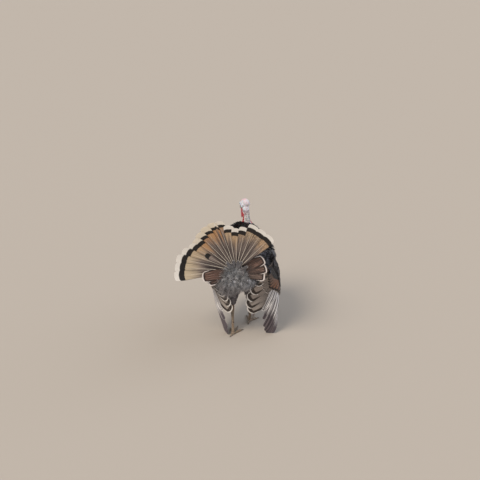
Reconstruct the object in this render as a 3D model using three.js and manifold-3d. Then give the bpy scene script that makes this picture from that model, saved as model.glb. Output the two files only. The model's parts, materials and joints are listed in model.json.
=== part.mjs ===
// A domestic turkey gobbler in full strut, life size, as a still museum model.
// Millimetres, +Z up. The bird faces -Y and its left side is +X. The origin is on the floor, under the
// middle of the bird's box. The fan leans to the bird's left, the wings droop to the floor, and the right
// foot is a step ahead of the left one.

import * as THREE from "three";
import { mergeVertices } from "three/addons/utils/BufferGeometryUtils.js";
import Module from "manifold-3d";

const wasm = await Module();
wasm.setup();

// ---- Driving dimensions, in millimetres and degrees ----

const GAP = 0.4; // left between neighbouring solids
const FLOOR_SIZE = 2000; // a box that trims whatever would reach below the floor

// Feathered trunk: ellipsoids [centre], [half sizes] that melt into each other over TRUNK_BLEND.
const TRUNK_CORE = [0, -10, 480];
const TRUNK_BLEND = 55;
const TRUNK_DETAIL = 5;
const TRUNK_FORMS = {
  barrel: [[0, 0, 472], [198, 222, 154]],
  breast: [[0, -125, 448], [176, 160, 166]],
  cape: [[30, -112, 552], [122, 146, 124]],
  mantle: [[6, -78, 536], [176, 128, 108]],
  ruff: [[14, -184, 612], [72, 68, 64]],
  belly: [[0, 20, 410], [138, 150, 88]],
  rump: [[0, 112, 488], [118, 90, 84]],
};
// Soft feathers round the vent, under the tail.
const VENT = { centre: [4, 172, 450], half: [112, 78, 66] };

// Tail fan: a feather is a sector between two angles, in degrees from straight up towards the bird's left.
const TAIL_BASE = [0, 190, 510];
const TAIL_LENGTH = 405;
const TAIL_ROOT = 34;
const TAIL_LEFT = 97;
const TAIL_RIGHT = -42;
const TAIL_LEAN = 7; // backwards from upright
const TAIL_CUP = 9; // more lean at the fan's two edges
const TAIL_CURL = 12; // how far a tip curves backwards
const TAIL_THICK = [7, 2.4]; // at the root and at the tip
// Share of the full length, from the leftmost feather. Those at the top and two on the left still grow.
const TAIL_FEATHERS = [
  0.97, 0.96, 0.96, 0.91, 0.85, 0.85, 0.89, 0.93, 0.955, 0.955, 0.87, 0.835, 0.88, 1, 1.01, 1.03,
];
// The shorter fans in front of the tail feathers and behind them.
const UPPER_COVERTS = { count: 7, reach: 0.52, offset: -9, thick: 5, left: 86, right: -40 };
const UNDER_COVERTS = { count: 5, reach: 0.27, offset: 10, thick: 6, left: 84, right: -42 };
// Broad coverts that carry the fan on round, at both its ends.
const SIDE_COVERTS = {
  left: { count: 3, reach: 0.52, lean: 21, thick: 4, left: 114, right: 87 },
  right: { count: 4, reach: 0.58, lean: 12, thick: 4, left: -45, right: -94 },
};
// Wing: rows of points on the arm, at the bulge and at the feather tips, for the bird's left side.
// A row runs from the innermost feather, at the elbow, to the outermost one, on the hand.
const WING_ARM = [[212, 40, 560], [212, -10, 500], [211, -55, 445], [208, -98, 382], [196, -122, 316]];
const LEFT_BULGE = [[224, 150, 500], [248, 140, 412], [232, 116, 330], [214, 92, 236], [190, 40, 150]];
const RIGHT_BULGE = [[250, 140, 520], [276, 87, 455], [305, 83, 372], [320, 132, 231], [288, 80, 130]];
const LEFT_TIPS = [[124, 178, 430], [74, 184, 328], [34, 170, 206], [48, 158, 16], [78, 122, -6]];
const RIGHT_TIPS = [[120, 144, 450], [92, 138, 350], [60, 130, 212], [148, 74, 16], [212, 64, -6]];
const HAND_START = 0.56; // where the row passes from the forearm's feathers to the hand's
// Thick is at the root and at the tip; rim is the share of it that is left at the row's two ends.
const FOREARM_END = HAND_START - 0.005;
const SECONDARIES = { from: 0, to: FOREARM_END, count: 8, start: 0.3, end: 1, thick: [4, 3], rim: 1, down: 3 };
const PRIMARIES = { from: HAND_START, to: 1, count: 7, start: 0.3, end: 1, thick: [4, 3], rim: 1, down: 2 };
const COVERTS = { from: 0.01, to: 0.99, count: 7, start: -0.1, end: 0.42, thick: [22, 9], rim: 0.45, down: 2 };
const WING_NOTCH = 0.06; // share of a feather's length between its tip and the notch beside it

// Head frame: the skull's middle, how far it turns to the bird's left and how far the bill dips.
const HEAD_CENTRE = [33, -230, 793];
const HEAD_YAW = 40;
const HEAD_DIP = 34;
// Skull sections: distance along the head, half width, top and bottom.
const SKULL = [
  [-49, 10, 10, -13],
  [-43, 19, 22, -23],
  [-28, 25, 31, -31],
  [-8, 26, 35, -32],
  [8, 24, 34, -31],
  [20, 20.5, 29, -28],
  [31, 15.5, 21, -23],
  [42, 10.5, 11.5, -14.5],
];
const UPPER_BILL = [
  [42.4, 9.6, 10.6, -3.6],
  [50, 8.6, 8.6, -4.6],
  [59, 7, 4, -6],
  [68, 4.4, -2.4, -10],
  [73, 2.4, -8, -14.5],
  [75.5, 0.9, -13, -17],
];
const LOWER_BILL = [
  [42.4, 8.6, -4.4, -13.4],
  [51, 7.4, -5.2, -13],
  [61, 5.2, -7.6, -12.8],
  [68.5, 1.4, -11.6, -13.4],
];
const EYE = { along: 19, side: 18.2, up: 8, radius: 6.6 };
// The snood rises from the forehead, [along, left, up] on the head, then hangs plumb by the bill's right.
const SNOOD_ROOT = [[[35, 0, 13], 5.2], [[45, -3, 18], 6], [[53, -11, 15], 6.4]];
const SNOOD_DROP = [[28, 7], [62, 7.8], [92, 7.2], [108, 3]];
const DEWLAP = [
  [[36, -236, 760], [5, 6]],
  [[35, -232, 742], [6, 13]],
  [[31, -227, 718], [6, 16]],
  [[27, -225, 694], [6, 14]],
  [[22, -226, 670], [4, 8]],
];
const NECK = [
  [[22, -212, 790], 19],
  [[16, -202, 764], 21],
  [[12, -195, 730], 21],
  [[10, -192, 692], 24],
  [[10, -192, 655], 28],
  [[11, -192, 620], 31],
];
const CARUNCLES = [
  [[27, -236, 668], 13],
  [[10, -241, 668], 14],
  [[-6, -232, 668], 12],
];
const BEARD = [
  [[4, -262, 505], 9],
  [[5, -290, 474], 10],
  [[6, -304, 420], 11],
  [[6, -306, 370], 8],
  [[6, -302, 330], 3],
];

// Legs: hip, ankle and the ball of the foot, and which way the foot points (degrees to the bird's left).
const LEGS = [
  { name: "left", out: 1, turn: -6, hip: [74, 30, 350], ankle: [48, 80, 190], ball: [34, 128, 0] },
  { name: "right", out: -1, turn: -8, hip: [-74, 0, 350], ankle: [-62, 4, 188], ball: [-40, -58, 0] },
];
const THIGH_RADII = [70, 58, 34, 17]; // from hip to ankle
const SHANK = [[0, 13, 14], [0.1, 13.5, 14.5], [0.25, 9, 10.5], [0.55, 8, 9.5], [0.85, 9, 10], [1, 11, 12]];
const BALL_HEIGHT = 15;
// Toes: heading from the foot's own, length, thickness at the root and at the tip.
const TOES = {
  inner: { heading: 34, length: 68, radii: [10.5, 6] },
  middle: { heading: 0, length: 92, radii: [12, 6.5] },
  outer: { heading: -34, length: 74, radii: [10.5, 6] },
  hind: { heading: 172, length: 36, radii: [9, 5.5] },
};
const CLAW_LENGTH = 17;
const SPUR = { at: 0.6, length: 17, radius: 6 };

// ---- Small helpers ----

const vec = (p) => new THREE.Vector3(...p);
const rad = THREE.MathUtils.degToRad;
const lerp = THREE.MathUtils.lerp;
const clamp = THREE.MathUtils.clamp;
const mirrored = (points) => points.map(([x, y, z]) => [-x, y, z]);

// The solid of a closed mesh.
function solidOf(geometry) {
  geometry.deleteAttribute("normal");
  geometry.deleteAttribute("uv");
  const merged = mergeVertices(geometry, 1e-4);
  const vertProperties = merged.attributes.position.array;
  const triVerts = new Uint32Array(merged.index.array);
  return new wasm.Manifold(new wasm.Mesh({ numProp: 3, vertProperties, triVerts }));
}

// The same, with the faces turned outwards first if they point inwards.
function facingOut(points, faces) {
  const geometry = new THREE.BufferGeometry().setFromPoints(points).setIndex(faces);
  const made = solidOf(geometry);
  if (made.volume() > 0) return made;
  return solidOf(geometry.setIndex(faces.reverse()));
}

// A closed skin over rings of points, each ring the same length, with a fan of triangles over both ends.
function loft(rings) {
  const sides = rings[0].length;
  const points = rings.flat();
  const faces = [];
  for (let i = 0; i < rings.length - 1; i++)
    for (let j = 0; j < sides; j++) {
      const a = i * sides + j;
      const b = i * sides + ((j + 1) % sides);
      faces.push(a, b, b + sides, a, b + sides, a + sides);
    }
  for (const ring of [0, rings.length - 1]) {
    const sum = rings[ring].reduce((total, p) => total.add(p), new THREE.Vector3());
    const middle = points.push(sum.divideScalar(sides)) - 1;
    for (let j = 0; j < sides; j++) {
      const a = ring * sides + j;
      const b = ring * sides + ((j + 1) % sides);
      faces.push(...(ring === 0 ? [b, a, middle] : [a, b, middle]));
    }
  }
  return facingOut(points, faces);
}

// A ring of points about a middle, with a half axis for its width and one for its depth.
function ringOf(middle, wide, deep, sides) {
  return Array.from({ length: sides }, (_, j) => {
    const angle = (2 * Math.PI * j) / sides;
    return middle.clone().addScaledVector(wide, Math.cos(angle)).addScaledVector(deep, Math.sin(angle));
  });
}

// A limb: stations [place, radius or [across, deep]] along a smooth path, with round sections.
function limb(stations, sides, steps = stations.length - 1) {
  const path = new THREE.CatmullRomCurve3(stations.map(([p]) => vec(p)), false, "centripetal");
  const frames = path.computeFrenetFrames(steps);
  const rings = [];
  for (let i = 0; i <= steps; i++) {
    const k = (i / steps) * (stations.length - 1);
    const a = Math.min(Math.floor(k), stations.length - 2);
    const [from, to] = [stations[a][1], stations[a + 1][1]].map((r) => (Array.isArray(r) ? r : [r, r]));
    const wide = frames.binormals[i].clone().multiplyScalar(lerp(from[0], to[0], k - a));
    const deep = frames.normals[i].clone().multiplyScalar(lerp(from[1], to[1], k - a));
    rings.push(ringOf(path.getPoint(i / steps), wide, deep, sides));
  }
  return loft(rings);
}

// Stations with every radius larger by a gap.
function widened(stations, by) {
  return stations.map(([p, r]) => [p, Array.isArray(r) ? r.map((x) => x + by) : r + by]);
}

// A sheet, closed all round. Surface(s, t) is its middle, with s across it and t along it. Smooth(s, t) is the
// same sheet without notches or laps, and gives the direction of its thickness. Grow widens it all round.
function slab({ surface, smooth, thickness, across, down }, grow = 0) {
  const step = 1e-3;
  const points = [];
  for (const face of [0.5, -0.5])
    for (let i = 0; i <= across; i++)
      for (let j = 0; j <= down; j++) {
        const [s, t] = [i / across, j / down];
        const ds = smooth(Math.min(s + step, 1), t).sub(smooth(Math.max(s - step, 0), t));
        const dt = smooth(s, Math.min(t + step, 1)).sub(smooth(s, Math.max(t - step, 0)));
        const normal = ds.clone().cross(dt).normalize();
        const point = surface(s, t).addScaledVector(normal, face * (thickness(t, s) + 2 * grow));
        if (i % across === 0) point.addScaledVector(ds.normalize(), i ? grow : -grow);
        if (j % down === 0) point.addScaledVector(dt.normalize(), j ? grow : -grow);
        points.push(point);
      }
  const row = down + 1;
  const layer = row * (across + 1);
  const faces = [];
  const quad = (a, b, c, d) => faces.push(a, b, c, a, c, d);
  for (let i = 0; i < across; i++)
    for (let j = 0; j < down; j++) {
      const a = i * row + j;
      quad(a, a + row, a + row + 1, a + 1);
      quad(a + layer, a + layer + 1, a + layer + row + 1, a + layer + row);
    }
  for (let i = 0; i < across; i++) {
    const first = i * row;
    const last = first + down;
    quad(first, first + layer, first + row + layer, first + row);
    quad(last, last + row, last + row + layer, last + layer);
  }
  for (let j = 0; j < down; j++) {
    const last = across * row + j;
    quad(j, j + 1, j + 1 + layer, j + layer);
    quad(last, last + layer, last + 1 + layer, last + 1);
  }
  return facingOut(points, faces);
}

// The largest body of a cut solid.
function largest(solid) {
  return solid.decompose().reduce((best, next) => (next.volume() > best.volume() ? next : best));
}

const ball = (centre, radius) => solidOf(new THREE.IcosahedronGeometry(radius, 1).translate(...centre));
const floorBox = new THREE.BoxGeometry(FLOOR_SIZE, FLOOR_SIZE, FLOOR_SIZE);
const aboveFloor = solidOf(floorBox.translate(0, 0, FLOOR_SIZE / 2));

// The point at share s, 0 to 1, of a smooth line through a row of points.
function along(row, s) {
  const k = clamp(s, 0, 1) * (row.length - 1);
  const i = Math.min(Math.floor(k), row.length - 2);
  const [a, b, c, d] = [i - 1, i, i + 1, i + 2].map((n) => vec(row[clamp(n, 0, row.length - 1)]));
  const t = k - i;
  return a
    .multiplyScalar(-0.5 * t + t * t - 0.5 * t ** 3)
    .addScaledVector(b, 1 - 2.5 * t * t + 1.5 * t ** 3)
    .addScaledVector(c, 0.5 * t + 2 * t * t - 1.5 * t ** 3)
    .addScaledVector(d, -0.5 * t * t + 0.5 * t ** 3);
}

// The point at share t of an arc from a root over a bulge to a tip.
function arc(root, bulge, tip, t) {
  const point = root.clone().multiplyScalar((1 - t) ** 2);
  return point.addScaledVector(bulge, 2 * t * (1 - t)).addScaledVector(tip, t * t);
}

// The edge of a row of feathers: 1 at each rounded tip, and less in the notches between them.
function scallop(s, count, depth) {
  return 1 - depth * Math.abs(2 * ((s * count) % 1) - 1) ** 2.5;
}

// ---- Trunk ----

// The distance to an ellipsoid, near enough to blend.
function ellipsoidDistance(p, [centre, half], grow) {
  const q = p.clone().sub(vec(centre));
  const radii = vec(half).addScalar(grow);
  const k = q.clone().divide(radii).length();
  return (k * (k - 1)) / Math.max(q.divide(radii).divide(radii).length(), 1e-9);
}

function trunkDistance(p, grow) {
  const distances = Object.values(TRUNK_FORMS).map((form) => ellipsoidDistance(p, form, grow));
  return distances.reduce((nearest, next) => {
    const mix = clamp(0.5 + (0.5 * (next - nearest)) / TRUNK_BLEND, 0, 1);
    return lerp(next, nearest, mix) - TRUNK_BLEND * mix * (1 - mix);
  });
}

// How far the trunk's surface lies from its core along a ray.
function trunkReach(ray, grow) {
  const stride = 6;
  const outside = (reach) => trunkDistance(vec(TRUNK_CORE).addScaledVector(ray, reach), grow) > 0;
  let far = 420;
  while (far > stride && outside(far)) far -= stride;
  let [near, beyond] = [far, far + stride];
  for (let n = 0; n < 12; n++) {
    const half = (near + beyond) / 2;
    if (outside(half)) beyond = half;
    else near = half;
  }
  return near;
}

function trunkSolid(grow = 0) {
  const geometry = new THREE.IcosahedronGeometry(1, TRUNK_DETAIL);
  const place = geometry.attributes.position;
  for (let i = 0; i < place.count; i++) {
    const ray = new THREE.Vector3().fromBufferAttribute(place, i).normalize();
    const point = vec(TRUNK_CORE).addScaledVector(ray, trunkReach(ray, grow));
    place.setXYZ(i, point.x, point.y, point.z);
  }
  return solidOf(geometry);
}

function ventSolid(grow = 0) {
  const [a, b, c] = VENT.half.map((half) => half + grow);
  return solidOf(new THREE.IcosahedronGeometry(1, 2).scale(a, b, c).translate(...VENT.centre));
}

// ---- Tail ----

// A point near the tail's base: degrees from straight up to the bird's left, how far it lies from the base and
// how far that direction leans backwards.
function tailPoint(degrees, reach, lean, offset = 0) {
  const turn = rad(degrees);
  const flat = Math.cos(rad(lean));
  const ray = vec([Math.sin(turn) * flat, Math.sin(rad(lean)), Math.cos(turn) * flat]);
  return vec(TAIL_BASE).addScaledVector(ray, reach).add(vec([0, offset, 0]));
}

// A point of the dished fan.
function fanPoint(degrees, reach, offset = 0) {
  const fromMiddle = (2 * degrees - TAIL_LEFT - TAIL_RIGHT) / (TAIL_LEFT - TAIL_RIGHT);
  const curl = TAIL_CURL * (reach / TAIL_LENGTH) ** 2;
  return tailPoint(degrees, reach, TAIL_LEAN + TAIL_CUP * fromMiddle ** 2, curl + offset);
}

// The main fan: each feather laps over its neighbour, so one edge stands a little behind the other.
function tailSolid(grow = 0) {
  const count = TAIL_FEATHERS.length;
  const lap = 5;
  const smooth = (s, t) => fanPoint(lerp(TAIL_LEFT, TAIL_RIGHT, s), lerp(TAIL_ROOT, TAIL_LENGTH, t));
  const surface = (s, t) => {
    const k = Math.min(s * count, count - 1e-6);
    const feather = Math.floor(k);
    const tip = TAIL_LENGTH * TAIL_FEATHERS[feather] * scallop(s, count, 0.035);
    return fanPoint(lerp(TAIL_LEFT, TAIL_RIGHT, s), lerp(TAIL_ROOT, tip, t), (k - feather - 0.5) * lap * t);
  };
  return slab({ surface, smooth, thickness: (t) => lerp(...TAIL_THICK, t), across: count * 3, down: 2 }, grow);
}

// A short fan of coverts with rounded tips, on the sheet that place(degrees, reach, t) gives.
function covertFan({ count, reach, thick, left, right }, place, grow = 0) {
  const tip = TAIL_LENGTH * reach;
  const at = (s, t, end) => place(lerp(left, right, s), lerp(TAIL_ROOT * 0.7, end, t), t);
  const smooth = (s, t) => at(s, t, tip);
  const surface = (s, t) => at(s, t, tip * scallop(s, count, 0.14));
  return slab({ surface, smooth, thickness: () => thick, across: count * 3, down: 2 }, grow);
}

// Coverts that lie on the tail feathers, in front of them or behind them.
function coverts(row, grow) {
  return covertFan(row, (degrees, reach, t) => fanPoint(degrees, reach, row.offset * (1.7 - 0.9 * t)), grow);
}

const sideCoverts = (row) => covertFan(row, (degrees, reach) => tailPoint(degrees, reach, row.lean));

// ---- Wings ----

const RIGHT_ROWS = { arm: mirrored(WING_ARM), bulge: mirrored(RIGHT_BULGE), tips: mirrored(RIGHT_TIPS) };
const WINGS = [
  { name: "left", side: 1, arm: WING_ARM, bulge: LEFT_BULGE, tips: LEFT_TIPS },
  { name: "right", side: -1, ...RIGHT_ROWS },
];

// A point of the wing: s from the innermost feather to the outermost, t from a feather's root to its tip.
function wingPoint(wing, s, t) {
  return arc(along(wing.arm, s), along(wing.bulge, s), along(wing.tips, s), t);
}

// The direction out of the wing's under side, towards the body.
function wingInward(wing, s, t) {
  const step = 1e-3;
  const ds = wingPoint(wing, s + step, t).sub(wingPoint(wing, s - step, t));
  const dt = wingPoint(wing, s, t + step).sub(wingPoint(wing, s, t - step));
  return ds.cross(dt).normalize().multiplyScalar(-wing.side);
}

// One row of wing feathers, as a sheet with a notch between each two tips.
function wingRow(wing, { from, to, count, start, end, thick, rim, down }, grow = 0) {
  const lap = 3;
  const thickness = (t, s) => lerp(...thick, t) * lerp(rim, 1, Math.sin(Math.PI * s) ** 0.6);
  const at = (s, t, tip) => wingPoint(wing, lerp(from, to, s), lerp(start, tip, t));
  const smooth = (s, t) => at(s, t, end);
  const surface = (s, t) => {
    const tip = end - WING_NOTCH * (1 - scallop(s, count, 1));
    const inside = [lerp(from, to, s), lerp(start, tip, t)].map((share) => clamp(share, 0.002, 0.998));
    const inward = wingInward(wing, ...inside);
    return at(s, t, tip).addScaledVector(inward, (((s * count) % 1) - 0.5) * lap * t);
  };
  return slab({ surface, smooth, thickness, across: count * 3, down }, grow);
}

// ---- Head ----

const headFrame = new THREE.Matrix4()
  .makeTranslation(...HEAD_CENTRE)
  .multiply(new THREE.Matrix4().makeRotationZ(rad(HEAD_YAW - 90)))
  .multiply(new THREE.Matrix4().makeRotationY(rad(HEAD_DIP)));

// From the head's own axes (along the bill, to the bird's left, up) to the bird's.
const onHead = (p) => vec(p).applyMatrix4(headFrame);
const eyeCentre = (side) => onHead([EYE.along, side * EYE.side, EYE.up]).toArray();

// The skull and cheeks: the widest part of each section stays level, and its top and bottom differ.
function skullSolid(grow = 0) {
  const sides = 12;
  const rings = SKULL.map(([at, half, top, bottom]) =>
    Array.from({ length: sides }, (_, j) => {
      const angle = (2 * Math.PI * j) / sides;
      const height = Math.sin(angle) > 0 ? top + grow : grow - bottom;
      return onHead([at, Math.cos(angle) * (half + grow), Math.sin(angle) * height]);
    }),
  );
  return loft(rings);
}

function billSolid(sections, grow = 0) {
  const rings = sections.map(([at, half, top, bottom]) => {
    const middle = onHead([at, 0, (top + bottom) / 2]);
    const wide = onHead([at, half + grow, (top + bottom) / 2]).sub(middle);
    const deep = onHead([at, 0, top + grow]).sub(middle);
    return ringOf(middle, wide, deep, 8);
  });
  return loft(rings);
}

function snoodSolid() {
  const root = SNOOD_ROOT.map(([p, r]) => [onHead(p).toArray(), r]);
  const [x, y, z] = root.at(-1)[0];
  return limb([...root, ...SNOOD_DROP.map(([drop, r]) => [[x, y, z - drop], r])], 7, 8);
}

// ---- Legs ----

const footTop = (leg) => vec(leg.ball).setZ(BALL_HEIGHT);

function thighSolid(leg, grow = 0) {
  const [hip, ankle] = [vec(leg.hip), vec(leg.ankle)];
  const knee = hip.clone().lerp(ankle, 0.4).add(vec([leg.out * 6, -14, 0]));
  const shin = hip.clone().lerp(ankle, 0.8);
  const end = hip.clone().lerp(ankle, 0.96);
  const stations = [hip, knee, shin, end].map((p, i) => [p.toArray(), THIGH_RADII[i]]);
  return limb(widened(stations, grow), 9, 4);
}

function shankSolid(leg, grow = 0) {
  const placed = (t) => vec(leg.ankle).lerp(footTop(leg), t).toArray();
  const stations = SHANK.map(([t, across, deep]) => [placed(t), [across, deep]]);
  return limb(widened(stations, grow), 8);
}

// The direction along the floor in which a toe of this leg points.
function toeHeading(leg, toe) {
  const angle = rad(leg.turn + leg.out * toe.heading);
  return vec([Math.sin(angle), -Math.cos(angle), 0]);
}

function toeSolid(leg, toe, grow) {
  const [root, end] = toe.radii;
  const heading = toeHeading(leg, toe);
  // Share of the toe, and its radius there: it swells at its two joint pads.
  const pads = [[0, root], [0.28, root * 0.84], [0.48, root * 0.96], [0.94, end], [1, end * 0.5]];
  const at = (share, radius) => vec(leg.ball).addScaledVector(heading, toe.length * share).setZ(radius * 0.84);
  return limb(widened(pads.map(([share, radius]) => [at(share, radius).toArray(), radius]), grow), 5);
}

function footSolid(leg, grow = 0) {
  const toes = Object.values(TOES).map((toe) => toeSolid(leg, toe, grow));
  return toes.reduce((sum, toe) => sum.add(toe)).intersect(aboveFloor);
}

function clawSolid(leg, toe) {
  const heading = toeHeading(leg, toe);
  const end = toe.radii[1];
  const reach = CLAW_LENGTH * (toe.length / TOES.middle.length) ** 0.3;
  const past = (distance) => vec(leg.ball).addScaledVector(heading, toe.length + distance);
  const at = (distance, height) => past(distance).setZ(height).toArray();
  const stations = [[at(-4, end * 0.95), 3.6], [at(reach * 0.4, end * 0.95), 3], [at(reach, 1), 0.8]];
  return limb(stations, 5).intersect(aboveFloor);
}

function spurSolid(leg) {
  const root = vec(leg.ankle).lerp(footTop(leg), SPUR.at);
  const inwards = vec([-leg.out * 0.55, 0.8, 0.05]).normalize();
  const at = (reach, rise) => root.clone().addScaledVector(inwards, reach).add(vec([0, 0, rise])).toArray();
  const tip = at(7 + SPUR.length, 4);
  return limb([[at(5, 0), SPUR.radius], [at(14, 0), SPUR.radius * 0.7], [tip, 0.9]], 6);
}

// ---- Assembly: each solid is cut back from what it grows out of ----

// Colour and roughness.
const FINISHES = {
  plumage: [0x1c1b1e, 0.6],
  fluff: [0x77726f, 0.9],
  side: [0x6e4a38, 0.8],
  tail: [0xb8925c, 0.7],
  covert: [0x9a6a42, 0.7],
  wing: [0x6a5d55, 0.7],
  quill: [0x5b5158, 0.6],
  face: [0xc9d4df, 0.5],
  neck: [0xd8b6bd, 0.55],
  wattle: [0xb5232e, 0.45],
  horn: [0xb9a58c, 0.4],
  shank: [0xa88f86, 0.6],
  claw: [0x4a4038, 0.4],
  eye: [0x1a1210, 0.1],
  beard: [0x0f0e0f, 0.7],
};
const bird = new THREE.Group();

// Adds a named mesh: the solid, cut back from each of the rooms round its neighbours.
function show(name, finish, solid, rooms = []) {
  const cut = largest(rooms.reduce((rest, room) => rest.subtract(room), solid)).getMesh();
  const geometry = new THREE.BufferGeometry();
  geometry.setAttribute("position", new THREE.BufferAttribute(cut.vertProperties, 3));
  geometry.setIndex(new THREE.BufferAttribute(cut.triVerts, 1));
  const [color, roughness] = FINISHES[finish];
  const mesh = new THREE.Mesh(geometry, new THREE.MeshStandardMaterial({ color, roughness, metalness: 0 }));
  mesh.name = name;
  bird.add(mesh);
}

const trunkRoom = trunkSolid(GAP);
const ventRoom = ventSolid(GAP);
const tailRoom = tailSolid(GAP);
const upperRoom = coverts(UPPER_COVERTS, GAP);
const underRoom = coverts(UNDER_COVERTS, GAP);
show("trunk", "plumage", trunkSolid());
show("vent", "fluff", ventSolid(), [trunkRoom, tailRoom]);
show("tail_fan", "tail", tailSolid(), [trunkRoom]);
show("upper_tail_coverts", "covert", coverts(UPPER_COVERTS), [trunkRoom, tailRoom]);
show("under_tail_coverts", "fluff", coverts(UNDER_COVERTS), [trunkRoom, tailRoom, ventRoom, upperRoom]);
for (const [side, row] of Object.entries(SIDE_COVERTS))
  show(`${side}_side_coverts`, "side", sideCoverts(row), [trunkRoom, ventRoom, tailRoom, underRoom]);

const neckRoom = limb(widened(NECK, GAP), 11, 6);
const skullRoom = skullSolid(GAP);
const sockets = [1, -1].map((side) => ball(eyeCentre(side), EYE.radius + GAP));
const upperBillRoom = billSolid(UPPER_BILL, GAP);
const dewlapRoom = limb(widened(DEWLAP, GAP), 8, 6);
const caruncles = CARUNCLES.map(([p, r]) => ball(p, r)).reduce((sum, lump) => sum.add(lump));
show("neck", "neck", limb(NECK, 11, 6), [trunkRoom]);
show("head", "face", skullSolid(), [...sockets, neckRoom]);
show("upper_bill", "horn", billSolid(UPPER_BILL), [skullRoom]);
show("lower_bill", "horn", billSolid(LOWER_BILL), [skullRoom]);
show("left_eye", "eye", ball(eyeCentre(1), EYE.radius));
show("right_eye", "eye", ball(eyeCentre(-1), EYE.radius));
show("snood", "wattle", snoodSolid(), [skullRoom, upperBillRoom, neckRoom]);
show("dewlap", "wattle", limb(DEWLAP, 8, 6), [skullRoom, neckRoom, trunkRoom]);
show("caruncles", "wattle", caruncles, [trunkRoom, neckRoom, dewlapRoom]);
show("beard", "beard", limb(BEARD, 7, 6), [trunkRoom]);

for (const wing of WINGS) {
  const rooms = [trunkRoom, wingRow(wing, COVERTS, GAP)];
  show(`${wing.name}_wing_coverts`, "wing", wingRow(wing, COVERTS), [trunkRoom]);
  show(`${wing.name}_secondaries`, "wing", wingRow(wing, SECONDARIES), rooms);
  show(`${wing.name}_primaries`, "quill", wingRow(wing, PRIMARIES).intersect(aboveFloor), rooms);
}

for (const leg of LEGS) {
  const shankRoom = shankSolid(leg, GAP);
  const footRoom = footSolid(leg, GAP);
  show(`${leg.name}_thigh`, "plumage", thighSolid(leg), [trunkRoom, ventRoom]);
  show(`${leg.name}_shank`, "shank", shankSolid(leg), [thighSolid(leg, GAP)]);
  show(`${leg.name}_foot`, "shank", footSolid(leg), [shankRoom]);
  show(`${leg.name}_spur`, "claw", spurSolid(leg), [shankRoom]);
  for (const [name, toe] of Object.entries(TOES))
    show(`${leg.name}_${name}_claw`, "claw", clawSolid(leg, toe), [footRoom]);
}

// The origin comes to the middle of the bird's box, on the floor.
const box = new THREE.Box3().setFromObject(bird);
const middle = box.getCenter(new THREE.Vector3());
bird.position.set(-middle.x, -middle.y, -box.min.z);

export default bird;
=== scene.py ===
# %% [markdown]
# # A turkey gobbler in full strut
#
# The imported solids are the bird's true outline: trunk, fan, wings, head and legs, at life size. This lesson
# dresses them. A skin is made first, then the plumage is grown on it feather by feather, then the horn, the
# eyes and the finishes. The frame comes in before anything else. The dressed bird has to stay within it.

# %% Load the frame
import json
import math

import bpy
import numpy as np
from mathutils import Matrix, Vector
from mathutils.bvhtree import BVHTree

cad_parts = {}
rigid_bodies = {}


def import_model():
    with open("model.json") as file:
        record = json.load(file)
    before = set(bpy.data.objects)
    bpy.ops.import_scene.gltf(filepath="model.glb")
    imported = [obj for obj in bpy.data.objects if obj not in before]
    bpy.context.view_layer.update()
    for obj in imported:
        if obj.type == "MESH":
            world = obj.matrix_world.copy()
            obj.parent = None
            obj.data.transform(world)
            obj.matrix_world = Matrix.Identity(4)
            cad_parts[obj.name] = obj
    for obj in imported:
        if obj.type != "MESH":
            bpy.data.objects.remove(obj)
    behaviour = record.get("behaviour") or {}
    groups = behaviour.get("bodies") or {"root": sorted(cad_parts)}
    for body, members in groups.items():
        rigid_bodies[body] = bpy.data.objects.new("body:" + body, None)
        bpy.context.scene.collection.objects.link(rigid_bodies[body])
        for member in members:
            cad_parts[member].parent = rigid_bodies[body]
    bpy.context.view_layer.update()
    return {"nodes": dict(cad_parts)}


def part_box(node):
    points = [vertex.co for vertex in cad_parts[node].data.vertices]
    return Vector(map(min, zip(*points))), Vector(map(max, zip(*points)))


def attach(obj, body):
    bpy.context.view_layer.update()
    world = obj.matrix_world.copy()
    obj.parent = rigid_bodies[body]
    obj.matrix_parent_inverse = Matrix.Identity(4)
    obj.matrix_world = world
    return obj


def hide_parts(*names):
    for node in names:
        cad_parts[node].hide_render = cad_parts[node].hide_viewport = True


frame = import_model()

print("nodes in the frame:", len(frame["nodes"]))

# %% [markdown]
# ## Places on the bird
#
# The bird was drawn in millimetres about its own middle, facing -Y with its left side at +X, and then moved so
# that the origin sits under the middle of its box. The left eye shows how far it was moved. The head has a
# frame of its own, along the bill, to the bird's left, and up, because the head is turned and dips.

# %% Units and the head's frame
MM = 0.001
HEAD_CENTRE = (33, -230, 793)
HEAD_YAW = 40
HEAD_DIP = 34
EYE = {"along": 19, "side": 18.2, "up": 8, "radius": 6.6}

HEAD_FRAME = (
    Matrix.Translation(HEAD_CENTRE)
    @ Matrix.Rotation(math.radians(HEAD_YAW - 90), 4, "Z")
    @ Matrix.Rotation(math.radians(HEAD_DIP), 4, "Y")
)


def on_head(along, side, up):
    """A place in the head's own frame, as a place on the bird, in millimetres."""
    return np.array(HEAD_FRAME @ Vector((along, side, up)))


eye_low, eye_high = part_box("left_eye")
EYE_LEFT = on_head(EYE["along"], EYE["side"], EYE["up"])
SHIFT = np.array((eye_low + eye_high) / 2) / MM - EYE_LEFT
SHIFT[2] = 0


def metres(points):
    """Places on the bird, in millimetres, as places in the frame, in metres."""
    return (np.asarray(points, float) + SHIFT) * MM


def bird_mm(points):
    """Places in the frame, in metres, as places on the bird, in millimetres."""
    return np.asarray(points, float) / MM - SHIFT


print("the bird was moved by, mm:", SHIFT.round(2))

# %% [markdown]
# ## Small tools
#
# A mesh is made from arrays in one go, with its attributes: numbers on each vertex that the finishes read
# later, such as how far a vertex is from its feather's tip. A piece with modifiers is settled into a plain
# mesh. Colours are written as sRGB hex and turned to linear light by one function.

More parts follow.
